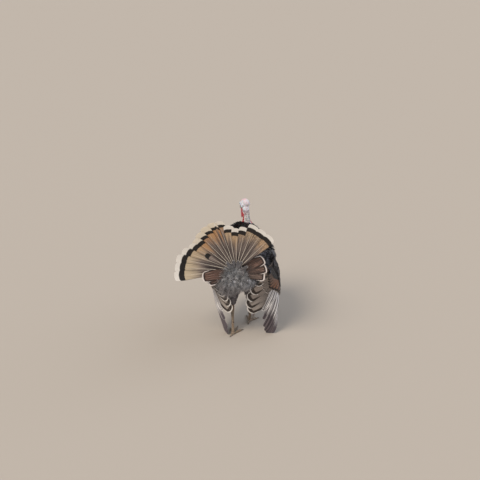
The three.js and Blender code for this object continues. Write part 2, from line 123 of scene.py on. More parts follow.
# %% Meshes and colours
def mesh_object(name, points, faces, attributes=None):
    """A mesh from places on the bird in millimetres, faces of one size, and vertex numbers by name."""
    points = metres(points)
    faces = np.asarray(faces, np.int32)
    mesh = bpy.data.meshes.new(name)
    mesh.vertices.add(len(points))
    mesh.vertices.foreach_set("co", points.ravel())
    mesh.loops.add(faces.size)
    mesh.loops.foreach_set("vertex_index", faces.ravel())
    mesh.polygons.add(len(faces))
    mesh.polygons.foreach_set("loop_start", np.arange(0, faces.size, faces.shape[1], dtype=np.int32))
    mesh.polygons.foreach_set("use_smooth", np.ones(len(faces), bool))
    mesh.update(calc_edges=True)
    for key, values in (attributes or {}).items():
        put(mesh, key, values)
    made = bpy.data.objects.new(name, mesh)
    bpy.context.scene.collection.objects.link(made)
    return made


def put(mesh, key, values):
    """Stores a number, or a vector, for each vertex under a name."""
    values = np.asarray(values, np.float32)
    kind = "FLOAT" if values.ndim == 1 else "FLOAT_VECTOR"
    layer = mesh.attributes.get(key) or mesh.attributes.new(key, kind, "POINT")
    layer.data.foreach_set("value" if values.ndim == 1 else "vector", values.ravel())


def corners(obj):
    """The vertices of a mesh as places on the bird, in millimetres."""
    places = np.empty(len(obj.data.vertices) * 3, np.float32)
    obj.data.vertices.foreach_get("co", places)
    return bird_mm(places.reshape(-1, 3))


def settled(obj, name=None):
    """A plain mesh of what an object's modifiers make, in place of the object."""
    graph = bpy.context.evaluated_depsgraph_get()
    mesh = bpy.data.meshes.new_from_object(
        obj.evaluated_get(graph), preserve_all_data_layers=True, depsgraph=graph
    )
    name = name or obj.name
    made = bpy.data.objects.new(name, mesh)
    bpy.context.scene.collection.objects.link(made)
    bpy.data.objects.remove(obj)
    made.name = mesh.name = name
    return made


def modified(obj, kind, **settings):
    """The object with one modifier added and its settings made."""
    modifier = obj.modifiers.new(kind.title(), kind)
    for key, value in settings.items():
        setattr(modifier, key, value)
    return obj


def joined(name, objects):
    """One object from several, in their place."""
    with bpy.context.temp_override(active_object=objects[0], selected_editable_objects=objects):
        bpy.ops.object.join()
    objects[0].name = objects[0].data.name = name
    return objects[0]


def linear(colour):
    """An sRGB colour such as #E9DFD5 as linear red, green, blue and alpha."""
    parts = [int(colour[i : i + 2], 16) / 255 for i in (1, 3, 5)]
    return (*[c / 12.92 if c <= 0.04045 else ((c + 0.055) / 1.055) ** 2.4 for c in parts], 1.0)


def add(tree, kind, inputs=None, **settings):
    """Adds a node with its settings. An input is given by name or number: a value, an output, or another node,
    of which the first output is meant."""
    node = tree.nodes.new(kind)
    for key, value in settings.items():
        setattr(node, key, value)
    for key, value in (inputs or {}).items():
        if isinstance(value, bpy.types.Node):
            value = value.outputs[0]
        if isinstance(value, bpy.types.NodeSocket):
            tree.links.new(value, node.inputs[key])
        else:
            node.inputs[key].default_value = value
    return node


print("white is", linear("#FFFFFF"))

# %% [markdown]
# ## Floor, light and camera
#
# A pale floor that runs far past the view, one broad soft lamp as the key, a second for the shadow side and a
# plain bright surround: feathers show their sheen and their edges in soft light. The camera has a long lens. It
# stands behind the bird, a little to its right, and looks down, with the bird in the middle of the frame.

# %% Floor
FLOOR_HALF = 60.0  # metres
floor_corners = np.array([(-1, -1, 0), (1, -1, 0), (1, 1, 0), (-1, 1, 0)]) * FLOOR_HALF
floor = mesh_object("floor", bird_mm(floor_corners), [(0, 1, 2, 3)])
floor_paint = bpy.data.materials.new("matt_floor_paint")
floor_paint.use_nodes = True
paint = floor_paint.node_tree.nodes["Principled BSDF"].inputs
paint["Base Color"].default_value, paint["Roughness"].default_value = linear("#BDB3A8"), 0.9
floor.data.materials.append(floor_paint)


# %% Lamps and surround
def soft_lamp(name, turn, height, power, spread, colour):
    """Even light from far off: turn and height in degrees, spread as the softness of its shadow's edge."""
    light = bpy.data.lights.new(name, "SUN")
    light.energy, light.angle, light.color = power, math.radians(spread), linear(colour)[:3]
    made = bpy.data.objects.new(name, light)
    made.rotation_euler = (math.radians(90 - height), 0, math.radians(turn))
    bpy.context.scene.collection.objects.link(made)


SURROUND_LIGHT = 0.6  # how brightly the surround lights the bird; what is seen of it is a plain wall
soft_lamp("key", 150, 52, 1.9, 24, "#FFF4E4")
soft_lamp("fill", -60, 34, 0.7, 50, "#E8F0FF")
world = bpy.data.worlds.new("studio")
world.use_nodes = True
around = world.node_tree
seen = add(around, "ShaderNodeLightPath").outputs["Is Camera Ray"]
glow = tuple(SURROUND_LIGHT * c for c in linear("#E4E7EC"))
shade = add(around, "ShaderNodeMix", {0: seen, 6: glow, 7: linear("#C3B9AE")}, data_type="RGBA")
around.links.new(shade.outputs[2], around.nodes["Background"].inputs["Color"])
bpy.context.scene.world = world
bpy.context.scene.view_settings.view_transform = "Standard"

# %% Camera
CAMERA_TURN = 11.784  # degrees off straight behind, towards the bird's right
CAMERA_DIP = 26.520  # degrees down
CAMERA_PLACE = (-1409.86, 6822.86, 4115.54)  # millimetres
camera_data = bpy.data.cameras.new("camera")
camera_data.lens, camera_data.sensor_width = 90, 36
camera_data.clip_start, camera_data.clip_end = 0.1, 200
camera = bpy.data.objects.new("camera", camera_data)
camera.location = metres(CAMERA_PLACE)
camera.rotation_euler = (math.radians(90 - CAMERA_DIP), 0, math.radians(180 + CAMERA_TURN))
bpy.context.scene.collection.objects.link(camera)
bpy.context.scene.camera = camera
print("camera at, metres:", [round(c, 3) for c in camera.location])

# %% [markdown]
# ## The skin
#
# Under the feathers is one skin: body, thighs and the wings' arms inside the plumage, and the bare head, neck
# and legs outside it. The bare parts need a much finer mesh than the body. So each region is melted together
# from closed forms that overlap, by a voxel remesh of its own size, and at the end the regions are united into
# one closed mesh. Feathered forms are the solids, drawn in by the depth of the plumage.

# %% Closed forms to melt together
def from_solid(node, depth=0.0, levels=2):
    """A rounded copy of a solid, drawn in by a depth in millimetres."""
    mesh = frame["nodes"][node].data.copy()
    form = bpy.data.objects.new(node + "_form", mesh)
    bpy.context.scene.collection.objects.link(form)
    modified(form, "WELD", merge_threshold=1e-5)
    modified(form, "SUBSURF", levels=levels, render_levels=levels)
    form = settled(form)
    form.data.materials.clear()
    if depth:
        normals = np.array([v.normal for v in form.data.vertices])
        move_to(form, corners(form) - depth * normals)
    return form


def move_to(obj, places):
    """Puts a mesh's vertices at places on the bird, in millimetres."""
    obj.data.vertices.foreach_set("co", metres(places).ravel())
    obj.data.update()


def along(row, steps):
    """Places on a smooth line through a row of points, counted in steps from one point to the next."""
    i = np.minimum(steps.astype(int), len(row) - 2)
    t = (steps - i)[..., None]
    a, b, c, d = (row[np.clip(i + n, 0, len(row) - 1)] for n in (-1, 0, 1, 2))
    return (
        a * (-0.5 * t + t**2 - 0.5 * t**3) + b * (1 - 2.5 * t**2 + 1.5 * t**3)
        + c * (0.5 * t + 2 * t**2 - 1.5 * t**3) + d * (-0.5 * t**2 + 0.5 * t**3)
    )


def smooth_line(points, count):
    """Evenly counted places on a smooth line through points; works on radii too."""
    row = np.array(points, float).reshape(len(points), -1)
    return along(row, np.linspace(0, len(row) - 1, count))


def unit(vectors):
    """Vectors at length one."""
    return vectors / np.maximum(np.linalg.norm(vectors, axis=-1, keepdims=True), 1e-9)


def ring_quads(rows, sides):
    """Faces with four corners between rings of points that follow one another."""
    i, j = np.meshgrid(np.arange(rows), np.arange(sides), indexing="ij")
    k = (j + 1) % sides
    return np.stack([i * sides + j, i * sides + k, (i + 1) * sides + k, (i + 1) * sides + j], -1).reshape(-1, 4)


def tube_mesh(line, radii, sides):
    """Points and faces of a closed tube along a line, with a radius at each of its places."""
    count = len(line)
    heading = unit(np.gradient(line, axis=0))
    side = np.cross(heading[0], (0.3, 0.5, 0.8))
    rings = []
    for i in range(count):
        side = unit(side - heading[i] * np.dot(side, heading[i]))
        up = np.cross(heading[i], side)
        turn = np.linspace(0, 2 * np.pi, sides, endpoint=False)[:, None]
        rings.append(line[i] + radii[i] * (np.cos(turn) * side + np.sin(turn) * up))
    poles = line[:1] - heading[:1] * radii[0] * 0.5, line[-1:] + heading[-1:] * radii[-1] * 0.5
    quads = ring_quads(count - 1, sides)
    j = np.arange(sides)
    k = (j + 1) % sides
    pole, last = np.full(sides, count * sides), (count - 1) * sides
    ends = np.stack([k, j, pole], 1), np.stack([last + j, last + k, pole + 1], 1)
    return np.vstack([*rings, *poles]), np.vstack([quads[:, [0, 1, 2]], quads[:, [0, 2, 3]], *ends])


def tube(name, points, radii, sides=20, count=40):
    """A closed tube along a smooth line through points on the bird, as an object."""
    line = smooth_line(points, count)
    return mesh_object(name, *tube_mesh(line, smooth_line(radii, count)[:, 0], sides))


bpy.ops.mesh.primitive_ico_sphere_add(subdivisions=2, radius=1)
sphere = bpy.context.object
BALL = np.array([v.co for v in sphere.data.vertices]), np.array([p.vertices[:] for p in sphere.data.polygons])
bpy.data.objects.remove(sphere)


def lumps(name, places, radii):
    """Balls at places on the bird, as one object."""
    points, faces = BALL
    radii = np.asarray(radii, float).reshape(len(places), -1)
    all_points = np.vstack([p + points * r for p, r in zip(np.asarray(places, float), radii)])
    all_faces = np.vstack([faces + n * len(points) for n in range(len(places))])
    return mesh_object(name, all_points, all_faces)


def melted(name, forms, voxel, smoothing):
    """One closed mesh from overlapping forms, with a voxel size in millimetres."""
    form = joined(name, forms)
    modified(form, "REMESH", mode="VOXEL", voxel_size=voxel * MM, use_smooth_shade=True)
    modified(form, "SMOOTH", factor=0.5, iterations=smoothing)
    return settled(form, name)


# %% Body, thighs and arms
PLUMAGE_DEPTH = 17  # from the skin to the tips of the feathers
DOWN_DEPTH = 26  # under the soft feathers round the vent
HIPS = {"left": (74, 30, 350), "right": (-74, 0, 350)}
ANKLES = {"left": (48, 80, 190), "right": (-62, 4, 188)}
OUTWARDS = {"left": 1, "right": -1}
SHOULDER, ELBOW, WRIST, HAND = (120, -50, 520), (184, 34, 520), (204, -45, 450), (196, -116, 330)


def thigh(side):
    """Thigh and drumstick, from inside the belly down to the ankle."""
    hip, ankle, out = np.array(HIPS[side], float), np.array(ANKLES[side], float), OUTWARDS[side]
    bone = ankle - hip
    knee = hip + bone * 0.4 + (out * 6, -14, 0)
    line = [hip + (-out * 6, 0, 60), hip, knee, hip + bone * 0.78, hip + bone * 0.95, ankle]
    return tube(side + "_thigh_form", line, [52, 52, 42, 21, 12.5, 11.5])


def arm(out):
    """The wing's arm, from the shoulder to the hand, inside its coverts."""
    line = np.array([SHOULDER, ELBOW, WRIST, HAND], float) * (out, 1, 1)
    return tube("arm_form", line, [24, 9, 6.5, 4], sides=12)


body = melted(
    "body_skin",
    [
        from_solid("trunk", PLUMAGE_DEPTH, levels=1),
        from_solid("vent", DOWN_DEPTH),
        thigh("left"),
        thigh("right"),
        arm(1),
        arm(-1),
    ],
    voxel=6,
    smoothing=6,
)
print("body skin:", len(body.data.polygons), "faces")

# %% [markdown]
# ## Head, neck and wattles
#
# A gobbler's head is bare: a firm skull under thin skin, thick lids, an open ear, and a neck with fleshy beads
# that are small at the nape and swell into big red caruncles where the feathers begin. The snood hangs over the
# bill and the dewlap joins the throat to the neck. The beads are balls set round the neck with a fixed seed,
# and the fine remesh melts them into one lumpy skin.

# %% Head and neck
NECK = [
    (22, -212, 790), (16, -202, 764), (12, -195, 730), (10, -192, 692), (10, -192, 655), (11, -188, 610),
    (10, -176, 570),
]
NECK_RADII = [18, 19.5, 19.5, 22.5, 26.5, 30, 34]
DEWLAP_LINE = [(36, -236, 760), (35, -232, 742), (31, -227, 718), (27, -225, 694), (22, -226, 670)]
chance = np.random.default_rng(11)


def ring_of_lumps(centre, axis_a, axis_b, count, radius):
    """Balls in a ring about a centre, between two half axes."""
    turn = np.linspace(0, 2 * np.pi, count, endpoint=False)[:, None]
    places = np.asarray(centre) + np.cos(turn) * axis_a + np.sin(turn) * axis_b
    return lumps("ring_form", places, np.full(count, radius))


def eye_frame(out):
    """An eye's centre, and the directions forwards, up and out of the head there."""
    centre = on_head(EYE["along"], out * EYE["side"], EYE["up"])
    outwards = unit(on_head(EYE["along"] + 4, out * (EYE["side"] + 12), EYE["up"] + 2.5) - centre)
    forwards = unit(on_head(EYE["along"] + 10, out * (EYE["side"] - 3.0), EYE["up"] - 1.5) - centre)
    up = unit(np.cross(forwards, outwards) * out)
    return centre, unit(np.cross(outwards, up) * out), up, outwards


def lids(out):
    """The thick rim of skin round an eye: an upper lid that overhangs, a lower one and a corner in front."""
    centre, forwards, up, outwards = eye_frame(out)

    def fold(rise, spots, radii):
        return lumps("lid_form", [centre + outwards * rise + forwards * a + up * b for a, b in spots], radii)

    return [
        ring_of_lumps(centre + outwards * 3.2, forwards * 7.4, up * 6.2, 26, 2.0),
        fold(2.4, ((-7, 6.5), (-3, 8.2), (2, 8.4), (6.5, 7)), [3.2, 3.4, 3.3, 2.8]),
        fold(1.6, ((-6, -7.4), (0, -9), (5, -8)), [3.2, 3.4, 3.0]),
    ]


def ear(out):
    """The raised rim of an ear opening, behind and under the eye."""
    centre = on_head(-12, out * 24.5, 1)
    front, top = on_head(-6, out * 24, 1), on_head(-12, out * 24.4, 6.5)
    return ring_of_lumps(centre, front - centre, top - centre, 14, 1.9)


def face_folds(out):
    """Soft bulges of the cheek and jowl, in the head's own frame."""
    bulges = [
        ((-3, 20, -14), 12), ((-20, 19, -10), 12), ((9, 17, -13), 8), ((20, 13, -10), 6.5),
        ((-34, 13, 6), 9), ((28, 9, 6), 6), ((34, 7, -8), 5),
    ]
    return lumps("fold_form", [on_head(a, out * b, c) for (a, b, c), _ in bulges], [r for _, r in bulges])


def neck_beads():
    """Beads of skin round the neck: small up at the nape, large towards the feathers."""
    line = smooth_line(NECK, 200)
    radii = smooth_line(NECK_RADII, 200)[:, 0]
    places, sizes = [], []
    for share in np.linspace(0.02, 0.70, 26):
        i = int(share * 199)
        heading = unit(line[min(i + 1, 199)] - line[i - 1])
        side = unit(np.cross(heading, (0, 1, 0)))
        back = np.cross(side, heading)
        if back[1] < 0:
            back = -back
        bead = 2.6 + 2.6 * share**1.5
        count = int(2 * np.pi * radii[i] / (bead * 2.35))
        for n in range(count):
            turn = 2 * np.pi * (n + chance.uniform(-0.3, 0.3)) / count
            outwards = np.cos(turn) * back + np.sin(turn) * side
            size = bead * chance.uniform(0.65, 1.25) * (1.0 + 0.25 * np.cos(turn))
            away = outwards * (radii[i] + size * 0.12)
            places.append(line[i] + away + heading * chance.uniform(-1.5, 1.5))
            sizes.append(size)
    return lumps("bead_form", places, sizes)


def collar():
    """The big caruncles round the front of the neck, where the feathers begin."""
    places, sizes = [], []
    for turn, height, size in [
        (-98, 668, 8.5), (-74, 662, 10.5), (-50, 660, 12), (-26, 658, 13), (0, 656, 13.5),
        (24, 657, 13), (48, 660, 12), (72, 664, 10), (96, 669, 8), (-36, 676, 8),
        (-12, 675, 9), (14, 676, 8.5), (38, 678, 7.5), (-12, 641, 11), (12, 642, 11),
    ]:
        angle = math.radians(turn)
        reach = 25 + size * 0.55
        places.append((10 + math.sin(angle) * reach, -194 - math.cos(angle) * reach, height))
        sizes.append((size, size, size * 1.15))
    return lumps("collar_form", places, sizes)


def nape_beads():
    """Beads over the back and sides of the head, in loose rows, smaller towards the crown."""
    form = from_solid("head")
    tree = BVHTree.FromObject(form, bpy.context.evaluated_depsgraph_get())
    centre = on_head(-6, 0, 2)
    places, sizes = [], []
    for turn in np.arange(-104, 105, 11.5):
        for lean in np.arange(-40, 60, 9.5):
            a, b = np.radians((turn, lean) + chance.uniform(-3, 3, 2))
            ray = on_head(-6 - np.cos(a) * np.cos(b), np.sin(a) * np.cos(b), 2 + np.sin(b)) - centre
            hit, _, _, _ = tree.ray_cast(Vector(metres(centre)), Vector(ray))
            size = chance.uniform(1.3, 2.5) * (1 - 0.4 * max(0, lean / 60))
            places.append(bird_mm(hit) - unit(ray) * size * 0.35)
            sizes.append(size)
    bpy.data.objects.remove(form)
    return lumps("nape_form", places, sizes)


def dewlap_web():
    """The web of skin that joins the dewlap to the front of the neck."""
    heights = np.arange(664, 771, 5.0)
    lines = [np.array(line[::-1], float).T for line in (NECK, DEWLAP_LINE)]
    neck, front = (np.stack([np.interp(heights, line[2], row) for row in line], 1) for line in lines)
    places = np.concatenate([neck * (1 - share) + front * share for share in np.linspace(0.45, 0.9, 6)])
    places = places + chance.uniform(-1, 1, places.shape)
    return lumps("web_form", places, chance.uniform(3.6, 5.0, len(places)))


def wrinkled(node, pitch, depth):
    """A hanging wattle with wrinkles across it, from its solid."""
    form = from_solid(node, levels=3)
    places = corners(form)
    normals = np.array([v.normal for v in form.data.vertices])
    height = places[:, 2] + 1.5 * np.sin(places[:, 0] * 0.5) + 1.2 * np.sin(places[:, 1] * 0.37)
    wave = np.sin(2 * np.pi * height / pitch) + 0.6 * np.sin(2 * np.pi * height / (pitch * 0.43))
    move_to(form, places + normals * (depth * (0.4 + wave))[:, None])
    return form


head = melted(
    "head_skin",
    [
        from_solid("head"),
        tube("neck_form", NECK, NECK_RADII, sides=28),
        wrinkled("snood", 8.5, 0.75),
        wrinkled("dewlap", 12, 1.2),
        *[form for out in (1, -1) for form in (*lids(out), ear(out), face_folds(out))],
        neck_beads(),
        nape_beads(),
        dewlap_web(),
        collar(),
    ],
    voxel=1.35,
    smoothing=2,
)
print("head and neck skin:", len(head.data.polygons), "faces")

# %% [markdown]
# ## Legs and feet
#
# A turkey's shanks and toes are covered with scutes, wide horny plates that lap like roof tiles down the front
# of the shank and along the top of each toe, with small round scales between. The plates are 5 to 7 mm long, so
# they are real relief here: each vertex is moved in or out by its distance along the shank or the toe.

# %% Legs
BALLS_OF_FEET = {"left": (34, 128, 15), "right": (-40, -58, 15)}
FOOT_TURN = {"left": -6, "right": -8}
TOE_HEADINGS = {"inner": 34, "middle": 0, "outer": -34, "hind": 172}
TOE_LENGTHS = {"inner": 68, "middle": 92, "outer": 74, "hind": 36}
SCUTE, TOE_SCUTE = 6.8, 5.2  # lengths of a plate on the shank and on a toe


def toe_direction(side, toe):
    """The direction along the floor in which a toe points."""
    angle = math.radians(FOOT_TURN[side] + OUTWARDS[side] * TOE_HEADINGS[toe])
    return np.array([math.sin(angle), -math.cos(angle), 0.0])


def plates(distance, pitch):
    """Relief of lapping plates: a slow rise and a quick drop at the end of each."""
    share = (distance / pitch) % 1
    return share**1.5 - 1.6 * np.exp(-((share / 0.16) ** 2)) - 1.2 * np.exp(-(((share - 1) / 0.12) ** 2))


def scaled(form, side):
    """Presses the scutes into a leg's mesh."""
    places = corners(form)
    normals = np.array([v.normal for v in form.data.vertices])
    ankle, ball = np.array(ANKLES[side], float), np.array(BALLS_OF_FEET[side], float)
    axis = unit(ball - ankle)
    down = (places - ankle) @ axis
    on_shank = (places[:, 2] > 22) & (down > 4)
    front = np.clip(np.abs(normals[:, 1]) * 1.6 - 0.35, 0, 1)
    across = places[:, 0] - (ankle + axis * down[:, None])[:, 0]
    shift = np.where(across > 0, 0.0, 0.5 * SCUTE)
    relief = np.where(on_shank, 0.55 * plates(down + shift, SCUTE) * front, 0)
    relief -= np.where(on_shank, 0.9 * front * np.exp(-((across / 0.9) ** 2)), 0)
    nearest = np.full(len(places), 1e9)
    toe_relief = np.zeros(len(places))
    for toe in TOE_HEADINGS:
        heading = toe_direction(side, toe)
        along = (places - ball) @ heading
        off = np.linalg.norm((places - ball - heading * np.clip(along, 0, None)[:, None])[:, :2], axis=1)
        mine = (off < nearest) & (along > 6)
        bump = 0.5 * plates(along, TOE_SCUTE) * np.clip(normals[:, 2] * 1.8 - 0.2, 0, 1)
        toe_relief = np.where(mine, bump, toe_relief)
        nearest = np.where(mine, off, nearest)
    relief += np.where(places[:, 2] <= 22, toe_relief, 0)
    moved = places + normals * relief[:, None]
    moved[:, 2] = np.maximum(moved[:, 2], 0.15)
    move_to(form, moved)
    return form


def leg(side):
    """Shank, hock and toes of one leg."""
    ankle, ball = np.array(ANKLES[side], float), np.array(BALLS_OF_FEET[side], float)
    hock = lumps("hock_form", [ankle, ankle + (0, 4, -3)], [(12.5, 13.5, 15), (10, 11.5, 13)])
    knuckles = [ball + toe_direction(side, toe) * TOE_LENGTHS[toe] * share + (0, 0, -6.5)
                for toe in ("inner", "middle", "outer") for share in (0.30, 0.52, 0.76)]
    joints = lumps("knuckle_form", knuckles, [(7.6, 7.6, 7.4), (7.2, 7.2, 6.8), (6.4, 6.4, 6.2)] * 3)
    pad = lumps("pad_form", [ball + (0, 0, -4)], [(14, 14, 10)])
    forms = [from_solid(side + "_shank"), from_solid(side + "_foot"), hock, joints, pad]
    return scaled(melted(side + "_leg_skin", forms, voxel=1.3, smoothing=3), side)


legs = [leg("left"), leg("right")]
print("leg skin:", sum(len(form.data.polygons) for form in legs), "faces")

# %% One closed skin
skin = body
for part in (head, *legs):
    modified(skin, "BOOLEAN", operation="UNION", solver="MANIFOLD", object=part)
    skin = settled(skin, "skin")
    bpy.data.objects.remove(part)
skin.data.polygons.foreach_set("use_smooth", np.ones(len(skin.data.polygons), bool))
print("skin:", len(skin.data.polygons), "faces,", len(skin.data.vertices), "vertices")

# %% [markdown]
# ## How a feather is made
#
# A feather is a shaft with a vane on each side. Here a vane is a thin closed shell over a grid of rows along
# the shaft and columns across it: the rows bow, so the last one is the rounded tip. Each vertex keeps how far
# it is from the tip and from the nearer edge, in millimetres, because bars and pale rims on real feathers
# follow its outline. The rim of the shell is kept sharp, so that the light doesn't round it off.

# %% Thin shells over a grid
def shell_faces(rows, columns):
    """Faces of a closed shell: the upper grid, and an underside that shares its border."""
    upper = np.arange((rows + 1) * (columns + 1)).reshape(rows + 1, columns + 1)
    under = upper.copy()
    inner = (rows - 1) * (columns - 1)
    under[1:-1, 1:-1] = upper.size + np.arange(inner).reshape(rows - 1, columns - 1)
    top = np.stack([upper[:-1, :-1], upper[:-1, 1:], upper[1:, 1:], upper[1:, :-1]], -1).reshape(-1, 4)
    low = np.stack([under[:-1, :-1], under[1:, :-1], under[1:, 1:], under[:-1, 1:]], -1).reshape(-1, 4)
    return np.vstack([top, low])


def shell_points(grids, thickness):
    """Points of closed shells over grids of one size, (feather, row, column, xyz)."""
    across, along = np.gradient(grids, axis=2), np.gradient(grids, axis=1)
    normals = unit(np.cross(across, along))
    under = grids - normals * thickness
    count = len(grids)
    return np.concatenate([grids.reshape(count, -1, 3), under[:, 1:-1, 1:-1].reshape(count, -1, 3)], 1)


def both_sides(values):
    """Values on a grid (feather, row, column), repeated for the underside as shell_points orders it."""
    count = len(values)
    return np.concatenate([values.reshape(count, -1), values[:, 1:-1, 1:-1].reshape(count, -1)], 1)


def sharpen_rims(obj, rows, columns, shells):
    """Marks the border edges of the first shells of a mesh as sharp."""
    border = np.ones((rows + 1, columns + 1), bool)
    border[1:-1, 1:-1] = False
    per_shell = (rows + 1) * (columns + 1) + (rows - 1) * (columns - 1)
    flags = np.zeros(per_shell, bool)
    flags[: border.size] = border.ravel()
    on_border = np.zeros(len(obj.data.vertices), bool)
    on_border[: per_shell * shells] = np.tile(flags, shells)
    edges = np.empty(len(obj.data.edges) * 2, np.int32)
    obj.data.edges.foreach_get("vertices", edges)
    sharp = on_border[edges.reshape(-1, 2)].all(1)
    held = obj.data.attributes
    layer = held.get("sharp_edge") or held.new("sharp_edge", "BOOLEAN", "EDGE")
    layer.data.foreach_set("value", sharp)


VANE_THICKNESS = 0.9


def for_each(per_feather, size):
    """Each feather's own marks, repeated for every one of its vertices."""
    return {key: np.repeat(np.asarray(v, float)[:, None], size, 1) for key, v in per_feather.items()}


def vanes(name, grids, half_widths, reaches, shaft, per_feather, map_start=0.02):
    """Feathers as one mesh. Grids are (feather, row, column, xyz) from root to tip; half widths and distances
    along the shaft are (feather, row), in millimetres. Shaft is its half width at root and tip."""
    count, rows, columns = len(grids), grids.shape[1] - 1, grids.shape[2] - 1
    cell = np.stack([(np.arange(count) + 0.5) / count, np.full(count, map_start)], 1)[:, None]
    cell_size = (0.42 / count, 0.46)
    u = np.linspace(-1, 1, columns + 1)
    to_tip = reaches[:, -1:] - reaches
    from_tip = np.repeat(to_tip[:, :, None], columns + 1, 2)
    edge, side = (way * half_widths[:, :, None] for way in (1 - np.abs(u), u))
    points = shell_points(grids, VANE_THICKNESS)
    per_shell = points.shape[1]
    faces = (shell_faces(rows, columns)[None] + per_shell * np.arange(count)[:, None, None]).reshape(-1, 4)
    values = {
        "from_tip": both_sides(from_tip),
        "edge": both_sides(edge),
        "side": both_sides(side),
        "shaft": np.zeros((count, per_shell)),
        **for_each(per_feather, per_shell),
    }
    flat = [both_sides(np.broadcast_to(u, edge.shape)), both_sides(from_tip / from_tip.max())]
    cells = cell + np.stack(flat, -1) * cell_size

    # The shaft: a four-sided rod let into the vane, standing proud on both faces.
    line = grids[:, :, columns // 2]
    heading = unit(np.gradient(line, axis=1))
    across = unit(grids[:, :, columns // 2 + 1] - grids[:, :, columns // 2 - 1])
    proud = np.cross(heading, across)
    share = np.linspace(0, 1, rows + 1)[None, :, None]
    girth = shaft[0] + (shaft[1] - shaft[0]) * share
    rings = np.stack([line + way * girth for way in (across, proud, -across, -proud)], 2)
    rod = rings.reshape(count, -1, 3)
    ends = [(0, 1, 2, 3), tuple(rows * 4 + n for n in (3, 2, 1, 0))]
    rod_faces = np.vstack([ring_quads(rows, 4)[:, [0, 3, 2, 1]], ends])
    start = per_shell * count
    rod_faces = (rod_faces[None] + start + rod.shape[1] * np.arange(count)[:, None, None]).reshape(-1, 4)
    rod_values = {
        "from_tip": np.repeat(to_tip, 4, 1),
        "edge": np.repeat(half_widths, 4, 1),
        "side": np.zeros((count, rod.shape[1])),
        "shaft": np.ones((count, rod.shape[1])),
        **for_each(per_feather, rod.shape[1]),
    }
    strip = np.tile([0.012, 0.004, -0.004, -0.012], (count, rows + 1))
    rod_cells = cell + np.stack([strip, np.repeat(to_tip / from_tip.max(), 4, 1)], -1) * cell_size

    made = mesh_object(
        name,
        np.vstack([points.reshape(-1, 3), rod.reshape(-1, 3)]),
        np.vstack([faces, rod_faces]),
        {key: np.concatenate([values[key].ravel(), rod_values[key].ravel()]) for key in values},
    )
    sharpen_rims(made, rows, columns, count)
    lay_out(made, np.vstack([cells.reshape(-1, 2), rod_cells.reshape(-1, 2)]))
    return made


def lay_out(obj, places):
    """The map OFBake, with one place on it for each vertex."""
    layer = obj.data.uv_layers.get("OFBake") or obj.data.uv_layers.new(name="OFBake")
    loops = np.empty(len(obj.data.loops), np.int32)
    obj.data.loops.foreach_get("vertex_index", loops)
    layer.data.foreach_set("uv", np.asarray(places, np.float32)[loops].ravel())


# %% [markdown]
# ## The fan of the tail
#
# Sixteen tail feathers stand on a dished sheet round the tail's base, as on the solid fan: each is a few
# degrees on from its neighbour, and its length is a share of a full-grown one. The outer feathers of each half
# lie behind the inner ones, so from behind each shows its outer vane whole. One more feather, on the left,
# has only just broken from its sheath.

# %% The fan's sheet
TAIL_BASE = np.array([0, 190, 510.0])
TAIL_LENGTH, TAIL_ROOT = 405, 34
TAIL_LEFT, TAIL_RIGHT = 97, -42
TAIL_LEAN, TAIL_CUP, TAIL_CURL = 7, 9, 12
TAIL_SHARES = np.array(
    [0.97, 0.96, 0.96, 0.91, 0.85, 0.85, 0.89, 0.93, 0.955, 0.955, 0.87, 0.835, 0.88, 1, 1.01, 1.03]
)


def tail_point(degrees, reach, lean, offset=0.0):
    """A place near the tail's base: degrees from upright to the bird's left, distance, and lean backwards."""
    turn, lean = np.radians(degrees), np.radians(lean)
    sideways, upwards = np.sin(turn) * np.cos(lean), np.cos(turn) * np.cos(lean)
    ray = np.stack(np.broadcast_arrays(sideways, np.sin(lean), upwards), -1)
    places = TAIL_BASE + ray * np.asarray(reach)[..., None]
    places[..., 1] += offset
    return places


def fan_point(degrees, reach, offset=0.0):
    """A place on the dished fan."""
    from_middle = (2 * degrees - TAIL_LEFT - TAIL_RIGHT) / (TAIL_LEFT - TAIL_RIGHT)
    curl = TAIL_CURL * (np.asarray(reach) / TAIL_LENGTH) ** 2
    return tail_point(degrees, reach, TAIL_LEAN + TAIL_CUP * from_middle**2, curl + offset)


def fan_feathers(name, turns, tips, roots, widths, bow, layers, place, rows, columns, **finish):
    """Feathers on a fan. Widths is the half width at root, middle and tip; bow is how far the tip's corners
    fall back; layers is how far each feather's two edges are tilted out of the fan, in millimetres."""
    share = np.linspace(0, 1, rows + 1) ** 0.85
    reaches = roots[:, None] + (tips - roots)[:, None] * share
    spread = np.interp(share, [0, 0.45, 0.86, 1], [widths[0], widths[1], widths[2], widths[2] * 0.93])
    half_widths = np.tile(spread, (len(turns), 1))
    u = np.linspace(-1, 1, columns + 1)
    x = u * half_widths[:, :, None]
    sag = bow * share**3
    r = reaches[:, :, None] - (sag[:, None] * (1 - np.sqrt(1 - (0.985 * u) ** 2)))[None]
    degrees = turns[:, None, None] + np.degrees(np.arctan2(x, r))
    tilt = layers[:, None, None] * u * share[None, :, None] ** 0.6 + 1.6 * u**2 * share[None, :, None]
    grids = place(degrees, np.hypot(x, r), tilt)
    return vanes(name, grids, half_widths, reaches, **finish)


# %% Tail feathers
count = len(TAIL_SHARES)
pitch = (TAIL_LEFT - TAIL_RIGHT) / count
feather_turns = TAIL_LEFT - pitch * (np.arange(count) + 0.5)
FAN_MIDDLE = 20  # degrees; the half to the left of it overlaps one way, the half to the right the other
